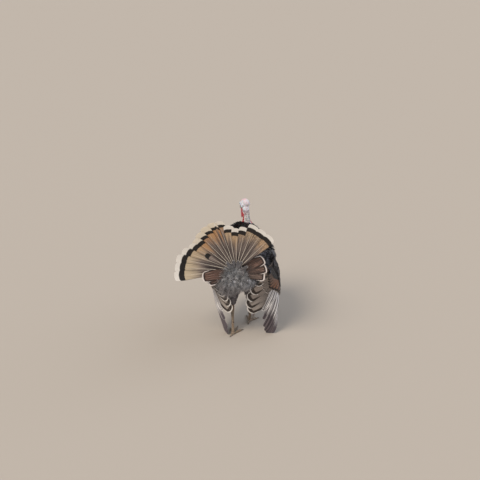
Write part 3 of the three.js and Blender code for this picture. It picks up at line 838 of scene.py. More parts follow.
# From the left edge of the fan to the right: the widths of the white tip and the black band in millimetres, how
# cream the tip is, how warm the vane is, how many millimetres further out it greys, and how speckled it is.
TIP_WHITE = np.array([29, 30, 34, 30, 26, 34, 36, 38, 36, 26, 28, 30, 30, 30, 30, 28])
BLACK_BAND = np.array([36, 35, 34, 32, 31, 29, 25, 23, 22, 22, 26, 30, 34, 36, 36, 38])
CREAM = np.array([0, 0, 0.05, 0.1, 0.3, 0.7, 0.9, 1, 0.9, 0.4, 0.1, 0.1, 0.1, 0, 0, 0])
WARMTH = np.array([0.1, 0.12, 0.15, 0.25, 0.5, 0.8, 0.95, 0.8, 0.9, 0.8, 0.4, 0.5, 0.45, 0.3, 0.35, 0.5])
GREYED = np.array([0, 5, 20, 0, 20, 0, 45, 10, 0, 50, 20, 0, 40, 20, 35, 0])
SPECKLE = np.array([0.1, 0.1, 0.1, 0.1, 0.1, 0.15, 0.2, 0.3, 0.35, 0.3, 0.3, 0.4, 0.7, 0.9, 1, 0.8])
wobble = np.random.default_rng(5)
tail = fan_feathers(
    "tail_feathers",
    turns=feather_turns + wobble.uniform(-0.5, 0.5, count),
    tips=TAIL_LENGTH * TAIL_SHARES + np.where(np.arange(count) > 11, 8, 0),
    roots=np.full(count, float(TAIL_ROOT)),
    widths=(5, 22, 36),
    bow=15,
    layers=np.where(feather_turns > FAN_MIDDLE, -2.4, 2.4),
    place=fan_point,
    rows=22,
    columns=10,
    shaft=(3.0, 0.9),
    per_feather={
        "white": TIP_WHITE, "black": BLACK_BAND, "cream": CREAM, "warm": WARMTH, "speckle": SPECKLE,
        "tone": wobble.uniform(0, 1, count), "short": GREYED,
    },
)
print("tail feathers:", count, "in", len(tail.data.polygons), "faces")

# %% The growing feather and the coverts of the tail
def covert_row(name, turns, reach, half_width, place, row_tilt, rust, bow=0.72):
    """One row of short feathers with round tips, on a sheet about the tail's base."""
    count = len(turns)
    return fan_feathers(
        name,
        turns=np.asarray(turns),
        tips=np.broadcast_to(np.asarray(reach, float), (count,)) * wobble.uniform(0.97, 1.03, count),
        roots=np.full(count, TAIL_ROOT * 0.7),
        widths=(half_width * 0.35, half_width * 0.95, half_width),
        bow=half_width * bow,
        layers=np.full(count, row_tilt),
        place=place,
        rows=12,
        columns=10,
        shaft=(1.6, 0.5),
        per_feather={"tone": wobble.uniform(0, 1, count), "rust": rust},
    )


def in_front(offset):
    """The fan's sheet moved forwards or, with a positive offset, backwards; less so out at the tips."""
    def place(degrees, reach, tilt):
        return fan_point(degrees, reach, offset * (1.7 - 1.1 * np.clip(reach / 200, 0, 1)) + tilt)
    return place


def beside(lean):
    """The sheet of the side coverts, which stand out from the rump at a lean of their own."""
    return lambda degrees, reach, tilt: tail_point(degrees, reach, lean, tilt + 3)


growing_feather = fan_feathers(
    "growing_tail_feather", turns=np.array([57.7]), tips=np.array([228.0]), roots=np.array([40.0]),
    widths=(3, 11, 18), bow=13, layers=np.array([1.5]), place=in_front(9), rows=14, columns=8, shaft=(2.4, 0.8),
    per_feather={
        "white": [0], "black": [32], "cream": [0.5], "warm": [0.4], "speckle": [0.1],
        "tone": [0.4], "short": [110],
    },
    map_start=0.5,
)
covert_rows = {
    "upper_tail_coverts": [
        covert_row("upper_a", np.linspace(82, -36, 13), 212, 21, in_front(-9), 2.0, np.full(13, 0.9)),
        covert_row("upper_b", np.linspace(78, -32, 11), 160, 20, in_front(-13), -2.0, np.full(11, 0.6)),
        covert_row("upper_c", np.linspace(74, -28, 9), 112, 19, in_front(-16), 2.0, np.full(9, 0.3)),
    ],
    "under_tail_coverts": [
        covert_row("under_a", np.linspace(84, -84, 15), 70, 14, in_front(8), 1.5, np.full(15, 0.2)),
        covert_row("under_b", [36, 6, -14, -27, -51], [92, 98, 104, 112, 122], 9, in_front(14), 1.5, [0] * 5),
    ],
    "left_side_coverts": [
        covert_row("side_a", [97.0], [222], 42, beside(21), 3.0, [1.0], 0.5),
        covert_row("side_b", [112.0], [196], 34, beside(17), 3.0, [0.6], 0.5),
    ],
    "right_side_coverts": [
        covert_row("side_c", [-56.0, -73, -90], [228, 214, 200], 35, beside(10), -3.0, [1.0, 0.6, 0.1], 0.4),
    ],
}
tail_coverts = {node: joined(node + "_dressed", rows) for node, rows in covert_rows.items()}
print("faces in the coverts of the tail:", sum(len(piece.data.polygons) for piece in tail_coverts.values()))

# %% [markdown]
# ## The wings
#
# In strut the wings are let down until the tips of the primaries brush the ground, and the secondaries spread
# like a half-open fan behind the thigh. As on the solids, each wing is a sheet of arcs: every arc starts on the
# arm, swings out over a bulge and ends at a feather's tip. The feathers are set along it from the innermost to
# the outermost, each one lapping over the next on the wing's upper side.

# %% The wing's sheet
WING_ARM = np.array([[212, 40, 560.0], [212, -10, 500], [211, -55, 445], [208, -98, 382], [196, -122, 316]])
LEFT_BULGE = np.array([[224, 150, 500.0], [248, 140, 412], [232, 116, 330], [214, 92, 236], [190, 40, 150]])
RIGHT_BULGE = np.array([[250, 140, 520.0], [276, 87, 455], [305, 83, 372], [320, 132, 231], [288, 80, 130]])
LEFT_TIPS = np.array([[124, 178, 430.0], [74, 184, 328], [34, 170, 206], [48, 158, 16], [78, 122, -6]])
RIGHT_TIPS = np.array([[120, 144, 450.0], [92, 138, 350], [60, 130, 212], [148, 74, 16], [212, 64, -6]])
MIRROR = np.array([-1, 1, 1])
WINGS = {
    "left": (1, WING_ARM, LEFT_BULGE, LEFT_TIPS),
    "right": (-1, WING_ARM * MIRROR, RIGHT_BULGE * MIRROR, RIGHT_TIPS * MIRROR),
}


def wing_point(side, s, t):
    """A place on a wing: s from the innermost feather to the outermost, t from a feather's root to its tip."""
    s, t = np.broadcast_arrays(np.asarray(s, float), np.asarray(t, float))
    steps, t = np.clip(s, 0, 1) * (len(WING_ARM) - 1), t[..., None]
    arm_line, bulge, tips = (along(row, steps) for row in WINGS[side][1:])
    return arm_line * (1 - t) ** 2 + bulge * 2 * t * (1 - t) + tips * t * t


def wing_frame(side, s, t):
    """Directions on the wing: out of its upper side, to the feather's tip, and to the outer feathers."""
    s = np.clip(np.asarray(s, float), 0.003, 0.997)
    step = 2e-3
    outer = wing_point(side, s + step, t) - wing_point(side, s - step, t)
    down = unit(wing_point(side, s, np.asarray(t) + step) - wing_point(side, s, np.asarray(t) - step))
    out = unit(np.cross(outer, down)) * WINGS[side][0]
    across = np.cross(out, down)
    return out, down, across * np.sign((across * outer).sum(-1, keepdims=True))


def wing_feathers(
    name, side, shares, start, ends, widths, bow, lift, lap, rows, columns, shaft, swing=0, **marks
):
    """Feathers on a wing's sheet. Shares is where along the wing each one ends, start and ends its root and
    tip, lift how far the row stands off the sheet's upper side, lap how far its outer edge is raised, and swing
    how much nearer the body its root is than its tip."""
    count = len(shares)
    share = np.linspace(0, 1, rows + 1) ** 0.9
    t = start + (np.asarray(ends)[:, None] - start) * share
    s = np.asarray(shares)[:, None] - np.broadcast_to(swing, count)[:, None] * (1 - t)
    middle = wing_point(side, s, t)
    out, down, across = wing_frame(side, s, t)
    steps = np.linalg.norm(np.diff(middle, axis=1), axis=-1)
    reaches = np.concatenate([np.zeros((count, 1)), np.cumsum(steps, axis=1)], 1)
    spread = np.interp(share, [0, 0.35, 0.82, 1], [widths[0], widths[1], widths[2], widths[2] * 0.94])
    half_widths = np.tile(spread, (count, 1))
    u = np.linspace(-1, 1, columns + 1)
    back = bow * share[:, None] ** 4 * (1 - np.sqrt(1 - (0.985 * u) ** 2))[None]
    wide = half_widths[:, :, None]
    rise = lift(s, t)[:, :, None] + lap * u * share[None, :, None] ** 0.5 - 0.10 * wide * u**2
    grids = (
        middle[:, :, None]
        + across[:, :, None] * (u[None, None, :] * wide)[..., None]
        - down[:, :, None] * back[None, :, :, None]
        + out[:, :, None] * rise[..., None]
    )
    grids[..., 2] = np.maximum(grids[..., 2], 2.0)
    marks = {key: np.broadcast_to(value, (count,)) for key, value in marks.items()}
    marks = {"tone": wobble.uniform(0, 1, count), **marks}
    return vanes(name, grids, half_widths, reaches, shaft, marks)


# %% Secondaries and primaries
SECONDARY_SHARES = {
    "left": [0.02, 0.10, 0.18, 0.26, 0.345, 0.43, 0.51], "right": [0.02, 0.14, 0.285, 0.39, 0.48, 0.54],
}
SECONDARY_WIDTHS = {"left": (7, 32, 42), "right": (8, 34, 43)}
PRIMARY_SHARES = np.linspace(0.60, 0.975, 9)
PRIMARY_ENDS = np.array([0.83, 0.80, 0.88, 0.93, 0.96, 0.98, 0.985, 0.99, 0.99])
PRIMARY_SWING = np.array([0.0, 0.26, 0.23, 0.19, 0.15, 0.11, 0.07, 0.03, 0.0])
# From the innermost primary to the outermost: how nearly white it is washed, how many millimetres of slate grey
# lie below the wash (under zero where it reaches past the tip), and how strong its white rim is.
PALENESS = np.array([0.8, 0.9, 0.9, 0.9, 1, 0.85, 0.95, 0.8, 0.7])
GREY_END = np.array([-60, -60, 70, 125, 140, 120, 100, 88, 80])
WHITE_RIM = np.array([1, 1, 0.3, 0, 0, 0, 0, 0, 0])
DARK_LINES = {"left": 0.3, "right": 0.85}  # how strongly each primary's shaft and outer edge are lined


def flat(s, t):
    """No lift off the wing's sheet."""
    return np.zeros_like(t)


def over_secondaries(s, t):
    """The innermost primaries ride up on the secondaries beside them."""
    return 8 * np.clip((0.74 - s) / 0.12, 0, 1) * np.clip((t - 0.4) / 0.25, 0, 1)


flight = {}
for side in WINGS:
    shares = np.array(SECONDARY_SHARES[side])
    flight[side, "secondaries"] = wing_feathers(
        side + "_secondaries_dressed", side, shares, 0.16, np.ones(len(shares)), SECONDARY_WIDTHS[side],
        SECONDARY_WIDTHS[side][2] * 0.8, flat, 3.4, rows=18, columns=12, shaft=(2.2, 0.6),
        rust=np.linspace(0.5, 0.0, len(shares)),
    )
    flight[side, "primaries"] = wing_feathers(
        side + "_primaries_dressed", side, PRIMARY_SHARES, 0.14, PRIMARY_ENDS, (6, 19, 15), 28,
        over_secondaries, 2.6, rows=20, columns=8, shaft=(2.6, 0.7), swing=PRIMARY_SWING,
        pale=PALENESS, wash=GREY_END, lined=DARK_LINES[side], rimmed=WHITE_RIM,
    )
print("flight feathers:", sum(len(piece.data.polygons) for piece in flight.values()), "faces")

# %% Greater coverts of the wings
def covert_lift(face):
    """Half the thickness of the coverts' pad, on its upper side for 1 and on its under side for -1."""
    def lift(s, t):
        thick = np.interp(t, [-0.1, 0.42, 0.6], [22, 14, 9])
        rim = 0.45 + 0.55 * np.sin(np.pi * np.clip(s, 0, 1)) ** 0.6
        return face * 0.5 * thick * rim
    return lift


TERTIAL_SHARES = np.array([0.04, 0.12, 0.20, 0.28, 0.36, 0.45])
TERTIAL_ENDS = np.array([0.74, 0.80, 0.82, 0.80, 0.76, 0.70])
COVERT_SHARES = np.linspace(0.03, 0.97, 15)
COVERT_ENDS = np.interp(
    COVERT_SHARES, [0, 0.15, 0.45, 0.55, 0.65, 0.8, 1], [0.7, 0.68, 0.62, 0.5, 0.39, 0.3, 0.24]
)
MEDIAN_ENDS = np.interp(
    COVERT_SHARES, [0, 0.3, 0.45, 0.55, 0.65, 0.8, 1], [0.62, 0.48, 0.36, 0.27, 0.2, 0.14, 0.11]
)
for side in WINGS:
    rust = np.interp(COVERT_SHARES, [0, 0.25, 0.5, 1], [0.0, 0.2, 1.0, 0.9])
    greater = wing_feathers(
        side + "_a", side, COVERT_SHARES, 0.0, COVERT_ENDS, (6, 19, 22), 17, covert_lift(1), 2.2,
        rows=12, columns=10, shaft=(1.5, 0.4), rust=rust,
    )
    inner = wing_feathers(
        side + "_b", side, COVERT_SHARES, 0.0, COVERT_ENDS * 0.8, (6, 17, 19), 14, covert_lift(-1), 2.0,
        rows=10, columns=8, shaft=(1.3, 0.4), rust=0.15,
    )
    flight[side, "coverts"] = joined(side + "_greater_coverts", [greater, inner])
    flight[side, "median"] = wing_feathers(
        side + "_median_coverts", side, COVERT_SHARES + 0.02, -0.05, MEDIAN_ENDS, (5, 18, 21), 15,
        covert_lift(1.25), 2.0, rows=10, columns=8, shaft=(1.3, 0.4), rust=0.0,
    )
    flight[side, "tertials"] = wing_feathers(
        side + "_tertials", side, TERTIAL_SHARES, 0.05, TERTIAL_ENDS, (7, 24, 27), 22,
        covert_lift(0.5), 2.4, rows=14, columns=10, shaft=(1.8, 0.5), rust=0.0,
    )
print("greater coverts:", sum(len(flight[side, "coverts"].data.polygons) for side in WINGS), "faces")

# %% [markdown]
# ## The coat of small feathers
#
# The body, the thighs and the arms carry some thousands of small feathers in rows, each row lapping over the
# next from the neck backwards. A few feathers are made once, and Geometry Nodes set one on each point of a mesh
# that holds only points. Every point keeps the way its feather lies, the way out of the body, its size and its
# pattern.

# %% Patterns for a small feather
def leaf(name, outline, camber, splits, rows=5, columns=4):
    """A closed vane of unit length along +Y. Outline gives its half width at shares of its length, camber
    how far its edges droop, and splits how far each column's end falls back from the tip."""
    share = np.linspace(0, 1, rows + 1) ** 0.85
    u = np.linspace(-1, 1, columns + 1)
    half = np.interp(share, np.linspace(0, 1, len(outline)), outline)[:, None]
    x = u * half
    y = share[:, None] - share[:, None] ** 3 * np.interp(u, np.linspace(-1, 1, len(splits)), splits)[None]
    z = 0.05 * np.sin(np.pi * share)[:, None] - camber * u**2 * share[:, None]
    grid = np.stack(np.broadcast_arrays(x, y, z), -1)[None]
    points = shell_points(grid, 0.02)[0]
    made = mesh_object(name, points, shell_faces(rows, columns))
    move_to(made, bird_mm(points))
    for key, values in (("along", share[:, None]), ("across", u[None])):
        put(made.data, key, both_sides(np.broadcast_to(values, grid.shape[1:3])[None])[0])
    sharpen_rims(made, rows, columns, 1)
    return made


def pattern_set(name, leaves):
    """Patterns kept in one collection, in the order of their names."""
    group = bpy.data.collections.new(name)
    bpy.context.scene.collection.children.link(group)
    for piece in leaves:
        bpy.context.scene.collection.objects.unlink(piece)
        group.objects.link(piece)
    return group


SQUARE = [0.20, 0.40, 0.50, 0.54, 0.50, 0.40]
ROUND = [0.16, 0.36, 0.47, 0.49, 0.42, 0.26]
SOFT = [0.10, 0.26, 0.34, 0.36, 0.30, 0.16]
contour = pattern_set("contour_patterns", [
    leaf("contour_0", SQUARE, 0.06, [0.16, 0.03, 0.0, 0.03, 0.16]),
    leaf("contour_1", SQUARE, 0.08, [0.20, 0.02, 0.02, 0.05, 0.14]),
    leaf("contour_2", ROUND, 0.07, [0.24, 0.06, 0.0, 0.05, 0.22]),
    leaf("contour_3", SQUARE, 0.05, [0.14, 0.02, 0.10, 0.02, 0.17]),
])


def rods(paths, girths, ring):
    """Points and faces of closed three-sided rods. Paths is (rod, place, xyz) and girths is (rod, place)."""
    count, rows = paths.shape[0], paths.shape[1] - 1
    points = paths[:, :, None] + np.asarray(ring, float) * girths[..., None, None]
    quads = ring_quads(rows, 3)
    ends = [(0, 1, 2), (rows * 3 + 2, rows * 3 + 1, rows * 3)]
    faces = np.concatenate([quads[:, [1, 0, 3]], quads[:, [1, 3, 2]], ends])
    faces = faces + (3 * (rows + 1) * np.arange(count))[:, None, None]
    return points.reshape(-1, 3), faces.reshape(-1, 3)


def tuft(name, seed, blades=13, rows=3):
    """Loose barbs of down: thin three-sided blades that leave one root, spread and curl."""
    dice = np.random.default_rng(seed)
    share = np.linspace(0, 1, rows + 1)
    spread, lift = np.radians(dice.uniform((-38, -8), (38, 26), (blades, 2))).T[..., None]
    long, curl, droop = dice.uniform((0.6, -0.4, 0.1), (1.0, 0.4, 0.5), (blades, 3)).T[..., None]
    reach = long * share
    paths = np.stack([
        reach * np.sin(spread) + curl * share**2, reach * np.cos(spread),
        reach * np.sin(lift) - droop * share**2,
    ], -1)
    girths = np.tile(0.014 * (1 - share) ** 0.5 + 0.003, (blades, 1))
    points, faces = rods(paths, girths, [(-1, 0, 0), (1, 0, 0), (0, 0, 0.5)])
    made = mesh_object(name, points, faces)
    move_to(made, bird_mm(points))
    put(made.data, "along", np.repeat(reach.ravel(), 3))
    put(made.data, "across", np.repeat(np.broadcast_to(np.sin(spread), reach.shape).ravel(), 3))
    return made


tufts = pattern_set("tuft_patterns", [tuft(f"tuft_{n}", 50 + n) for n in range(4)])
down = pattern_set("down_patterns", [
    leaf("down_0", SOFT, 0.10, [0.34, 0.02, 0.20, 0.0, 0.30]),
    leaf("down_1", SOFT, 0.04, [0.10, 0.26, 0.0, 0.24, 0.16]),
    leaf("down_2", SOFT, 0.12, [0.28, 0.10, 0.0, 0.18, 0.05]),
    leaf("down_3", ROUND, 0.02, [0.20, 0.0, 0.22, 0.04, 0.26]),
])
PATTERNS = 4


# %% The tree that sets the feathers
def coat_tree():
    """Sets a pattern on each point, turned to its lie with a little ruffle, and maps it at its root's place."""
    tree = bpy.data.node_groups.new("set_feathers", "GeometryNodeTree")
    for name, kind in (
        ("Geometry", "Geometry"), ("Feathers", "Collection"), ("Finish", "Material"),
        ("Patch", "Float"), ("Ruffle", "Float"), ("Seed", "Int"),
    ):
        tree.interface.new_socket(name, in_out="INPUT", socket_type="NodeSocket" + kind)
    tree.interface.new_socket("Geometry", in_out="OUTPUT", socket_type="NodeSocketGeometry")
    given = add(tree, "NodeGroupInput").outputs
    kept = {
        name: add(tree, "GeometryNodeInputNamedAttribute", {"Name": name}, data_type=kind)
        for name, kind in (
            *[(name, "FLOAT_VECTOR") for name in ("lie", "out", "size", "root")],
            *[(name, "FLOAT") for name in ("kind", "along", "across")],
        )
    }
    facing = add(
        tree, "FunctionNodeAxesToRotation",
        {"Primary Axis": kept["lie"], "Secondary Axis": kept["out"]}, primary_axis="Y", secondary_axis="Z",
    )
    least = add(tree, "ShaderNodeMath", {0: given["Ruffle"], 1: -1.0}, operation="MULTIPLY")
    tilt = add(
        tree, "FunctionNodeRandomValue",
        {"Min": least, "Max": given["Ruffle"], "Seed": given["Seed"]}, data_type="FLOAT_VECTOR",
    )
    ruffle = add(tree, "FunctionNodeEulerToRotation", {"Euler": tilt})
    turned = add(
        tree, "FunctionNodeRotateRotation", {"Rotation": facing, "Rotate By": ruffle}, rotation_space="LOCAL"
    )
    patterns = add(
        tree, "GeometryNodeCollectionInfo",
        {"Collection": given["Feathers"], "Separate Children": True, "Reset Children": True},
    )
    set_out = add(
        tree, "GeometryNodeInstanceOnPoints",
        {
            "Points": given["Geometry"], "Instance": patterns, "Pick Instance": True,
            "Instance Index": kept["kind"], "Rotation": turned, "Scale": kept["size"],
        },
    )
    real = add(tree, "GeometryNodeRealizeInstances", {"Geometry": set_out})
    spot = add(tree, "ShaderNodeCombineXYZ", {"X": kept["across"], "Y": kept["along"]})
    patch = add(tree, "ShaderNodeVectorMath", {0: spot, 3: given["Patch"]}, operation="SCALE")
    place = add(tree, "ShaderNodeVectorMath", {0: kept["root"], 1: patch}, operation="ADD")
    mapped = add(
        tree, "GeometryNodeStoreNamedAttribute", {"Geometry": real, "Name": "OFBake", "Value": place},
        data_type="FLOAT2", domain="CORNER",
    )
    finished = add(tree, "GeometryNodeSetMaterial", {"Geometry": mapped, "Material": given["Finish"]})
    add(tree, "NodeGroupOutput", {0: finished})
    return tree


COAT_TREE = coat_tree()


def triangles(obj):
    """How many triangles a mesh comes to."""
    return len(obj.data.loops) - 2 * len(obj.data.polygons)


def coat(name, spots, patterns, finish, ruffle, seed):
    """A plain mesh of small feathers. Spots holds place, lie, out, length, width, root and tone for each."""
    count = len(spots["place"])
    bed = mesh_object(name, spots["place"], np.zeros((0, 3), np.int32))
    dice = np.random.default_rng(seed)
    size = np.stack([spots["width"], spots["length"], spots["length"]], -1) * MM
    root = np.concatenate([spots["root"] * 0.99 + 0.003, np.zeros((count, 1))], 1)
    for key, values in (
        ("lie", spots["lie"]), ("out", spots["out"]), ("size", size), ("root", root),
        ("kind", dice.integers(0, PATTERNS, count)), ("tone", spots.get("tone", dice.uniform(0, 1, count))),
        ("long", spots["length"]), ("wide", spots["width"]),
    ):
        put(bed.data, key, values)
    setter = bed.modifiers.new("Set feathers", "NODES")
    setter.node_group = COAT_TREE
    given = {"Feathers": patterns, "Finish": finish, "Patch": 0.0015, "Ruffle": ruffle, "Seed": seed}
    for item in COAT_TREE.interface.items_tree:
        if item.in_out == "INPUT" and item.name in given:
            setter[item.identifier] = given[item.name]
    made = settled(bed, name)
    along, across, long, wide = held = np.empty((4, len(made.data.vertices)), np.float32)
    for key, values in zip(("along", "across", "long", "wide"), held):
        made.data.attributes[key].data.foreach_get("value", values)
    put(made.data, "from_tip", (1 - along) * long)
    put(made.data, "edge", (1 - np.abs(across)) * wide * 0.5)
    put(made.data, "side", across * wide * 0.5)
    for key in ("lie", "out", "size", "root", "kind", "along", "across", "long", "wide"):
        made.data.attributes.remove(made.data.attributes[key])
    print(name + ":", count, "feathers,", triangles(made), "triangles")
    return made


# %% Rows of feathers over the trunk
CORE = np.array([0, -10, 480.0])
NECK_BASE = np.array([12, -188, 655.0])
outer_trunk = from_solid("trunk", 0, levels=1)
trunk_tree = BVHTree.FromObject(outer_trunk, bpy.context.evaluated_depsgraph_get())
AXIS = unit(NECK_BASE - CORE)
AXIS_SIDE = unit(np.cross(AXIS, (0, 0, 1)))
AXIS_UP = np.cross(AXIS_SIDE, AXIS)
core_place = Vector(metres(CORE))


def on_trunk(theta, phi):
    """The trunk's outer surface in a direction from its core, and the surface's own way out."""
    ray = AXIS * math.cos(theta) + (AXIS_SIDE * math.cos(phi) + AXIS_UP * math.sin(phi)) * math.sin(theta)
    hit, normal, _, _ = trunk_tree.ray_cast(core_place, Vector(ray))
    if normal.dot(Vector(ray)) < 0:
        normal.negate()
    return bird_mm(hit), np.array(normal)


def trunk_spots():
    """Rows from the neck backwards. The feathers grow longer and broader down the body."""
    dice = np.random.default_rng(21)
    spots = []
    theta, row = math.radians(8), 0
    while theta < math.radians(176):
        share = min(1, (math.degrees(theta) - 8) / 60)
        length, width, step = 26 + 42 * share, 15 + 24 * share, 6.5 + 8.5 * share
        ring = [on_trunk(theta, phi)[0] for phi in np.linspace(0, 2 * np.pi, 25)]
        around = sum(np.linalg.norm(b - a) for a, b in zip(ring, ring[1:]))
        count = max(5, int(around / (width * 0.62)))
        reach = np.mean([np.linalg.norm(p - CORE) for p in ring])
        for n in range(count):
            phi = 2 * np.pi * (n + 0.5 * (row % 2) + dice.uniform(-0.16, 0.16)) / count
            here = theta + dice.uniform(-0.22, 0.22) * step / reach
            place, out = on_trunk(here, phi)
            ahead, _ = on_trunk(min(here + 0.03, 3.13), phi)
            lie = ahead - place
            lie = unit(lie - out * np.dot(lie, out))
            long = length * dice.uniform(0.88, 1.1)
            depth = min(PLUMAGE_DEPTH, 0.27 * long + 2)
            forward = np.clip((20 - place[1]) / 80, 0, 1)
            puffed = (0.45 + 0.35 * min(1, abs(place[0]) / 60)) * max(0, out[2]) * forward
            rise = math.asin(min(0.6, (depth - 0.5) / long)) + puffed
            spots.append((
                place - out * depth - lie * long * 0.35, lie * math.cos(rise) + out * math.sin(rise),
                out * math.cos(rise) - lie * math.sin(rise), long, width * dice.uniform(0.9, 1.12),
                (phi / (2 * np.pi) % 1, here / math.pi), dice.uniform(0, 1),
            ))
        theta += step / reach
        row += 1
    names = ("place", "lie", "out", "length", "width", "root", "tone")
    return {name: np.array(column, float) for name, column in zip(names, zip(*spots))}


trunk_roots = trunk_spots()
print("feathers on the trunk:", len(trunk_roots["place"]))

# %% Rows of feathers on the thighs, the wings' arms and the down
THIGH_RADII = np.array([70, 58, 34, 17.0])
dice = np.random.default_rng(33)


def spots_from(places, lies, outs, lengths, widths, roots):
    """Spots for a coat from arrays, with every direction at length one and the lie square to the way out."""
    outs = unit(outs)
    lies = unit(lies - outs * (lies * outs).sum(-1, keepdims=True))
    return {"place": places, "lie": lies, "out": outs, "length": lengths, "width": widths, "root": roots}


def raised(spots, rise):
    """The spots with each feather's tip lifted by an angle in radians."""
    lie, out = spots["lie"], spots["out"]
    up, on = (part(np.asarray(rise).reshape(-1, 1)) for part in (np.sin, np.cos))
    return {**spots, "lie": lie * on + out * up, "out": out * on - lie * up}


def merged(*sets):
    """Several sets of spots as one."""
    return {key: np.concatenate([one[key] for one in sets]) for key in sets[0]}


def thigh_spots(side):
    """Rows down a thigh, from inside the belly to just over the hock."""
    hip, ankle = np.array(HIPS[side], float), np.array(ANKLES[side], float)
    axis = unit(ankle - hip)
    across = unit(np.cross(axis, (0, 1, 0)))
    forward = np.cross(across, axis)
    spots = []
    for row, share in enumerate(np.arange(-0.25, 0.82, 0.075)):
        radius = np.interp(share, np.linspace(0, 1, 4), THIGH_RADII)
        length, width = np.interp(share, [0, 1], [46, 26]), np.interp(share, [0, 1], [28, 13])
        around = max(7, int(2 * np.pi * radius / (width * 0.62)))
        for n in range(around):
            turn = 2 * np.pi * (n + 0.5 * (row % 2) + dice.uniform(-0.15, 0.15)) / around
            out = math.cos(turn) * across + math.sin(turn) * forward
            place = hip + (ankle - hip) * share + out * max(radius - min(12, 0.25 * length), 9)
            root = (turn / (2 * np.pi) % 1, (share + 0.25) / 1.3)
            long, wide = length * dice.uniform(0.85, 1.1), width * dice.uniform(0.9, 1.1)
            spots.append((place, axis, out, long, wide, root))
    return raised(spots_from(*(np.array(column) for column in zip(*spots))), 0.13)


def arm_spots(side):
    """Small coverts in rows over both faces of the arm, and round its front edge."""
    sets = []
    for row, t in enumerate(np.arange(-0.16, 0.20, 0.032)):
        for face in (1, -1):
            length = 40 if face > 0 else 34
            shares = (np.arange(30) + 0.5 * (row % 2) + 0.25) / 30 + dice.uniform(-0.006, 0.006, 30)
            s = np.clip(shares, 0.004, 0.996)
            out, lie, across = wing_frame(side, s, np.full(30, t))
            lift = covert_lift(face)(s, np.full(30, t)) * np.interp(t, [-0.16, -0.1, 0], [0.1, 0.75, 1.0])
            sets.append(spots_from(
                wing_point(side, s, t) + out * lift[:, None], lie, out * face,
                length * dice.uniform(0.9, 1.1, 30), 23 * dice.uniform(0.9, 1.1, 30),
                np.stack([s, np.full(30, (t + 0.2) / 0.45 + (0.0 if face > 0 else 0.02))], 1),
            ))
    return raised(merged(*sets), 0.07)


def shoulder_spots(side):
    """The scapulars: broad feathers that cover the gap between the back and the wing."""
    sets = []
    out_sign = WINGS[side][0]
    for row, y in enumerate(np.arange(-70, 96, 13)):
        turn = np.radians(np.linspace(8, 100, 10) + (row % 2) * 5 + dice.uniform(-1.5, 1.5, 10))
        share = (y + 70) / 166
        middle = np.array([164.0 * out_sign, y, 534 - 34 * share])
        outs = np.stack([out_sign * np.sin(turn), np.zeros(10), np.cos(turn)], 1)
        places = middle + outs * np.array([42, 1, 30])
        lie = np.tile((0.0, 1.0, -0.45), (10, 1))
        sets.append(spots_from(
            places, lie, outs, 58 * dice.uniform(0.9, 1.1, 10), 34 * dice.uniform(0.9, 1.1, 10),
            np.stack([turn / 2 % 1, np.full(10, share)], 1),
        ))
    return raised(merged(*sets), 0.10)


def down_spots(centre, half, count, length, width, lie, splay, behind):
    """Soft feathers over the hind part of a rounded form, with lies that splay about one direction."""
    golden = np.pi * (3 - 5**0.5) * np.arange(count)
    height = 1 - 2 * (np.arange(count) + 0.5) / count
    round_ = np.sqrt(1 - height**2)
    normal = np.stack([round_ * np.cos(golden), round_ * np.sin(golden), height], 1)
    places = np.asarray(centre, float) + normal * half
    outs = unit(normal / np.asarray(half, float))
    lies = np.asarray(lie, float) + dice.uniform(-splay, splay, (count, 3))
    lengths, widths = length * dice.uniform(0.75, 1.2, count), width * dice.uniform(0.75, 1.2, count)
    roots = np.stack([golden / (2 * np.pi) % 1, 0.5 - 0.5 * height], 1)
    spots = spots_from(places, lies, outs, lengths, widths, roots)
    chosen = places[:, 1] > behind
    spots = {key: value[chosen] for key, value in spots.items()}
    return raised(spots, dice.uniform(0.05, 0.4, chosen.sum()))


thigh_roots = merged(thigh_spots("left"), thigh_spots("right"))
arm_roots = {side: merged(arm_spots(side), shoulder_spots(side)) for side in WINGS}
vent_roots = merged(
    down_spots((4, 172, 450), (96, 62, 52), 900, 52, 21, (0, 0.25, -1), 0.55, behind=110),
    down_spots((2, 196, 498), (54, 20, 28), 220, 46, 19, (0, 0.6, -1), 0.9, behind=196),
)
vent_roots["tone"] = 0.7 * vent_roots["root"][:, 0]  # few of these are pale wisps
fluff_roots = {
    "vent": down_spots((4, 172, 450), (98, 64, 54), 980, 70, 70, (0, 0.3, -1), 0.8, behind=150),
    "rump": merged(
        down_spots((2, 202, 500), (54, 12, 26), 340, 66, 66, (0, 0.3, 0.4), 1.4, behind=198),
        down_spots((48, 172, 432), (60, 52, 70), 640, 78, 78, (0.25, 0.3, -1), 0.6, behind=150),
    ),
}
print("on the thighs:", len(thigh_roots["place"]), "on the vent:", len(vent_roots["place"]))

# %% [markdown]
# ## Beard
#
# A gobbler's beard is a bundle of coarse black bristles that grows from the breast and hangs free. Each is a
# thin three-sided rod that leaves the breast in the same tuft, bends down under its weight and parts a little
# from the rest at the end.

# %% Beard bristles
BEARD = [(4, -262, 505), (5, -290, 474), (6, -304, 420), (6, -306, 370), (6, -302, 330)]
BEARD_SPREAD = [4.5, 7.0, 8.5, 9.5, 10.5]


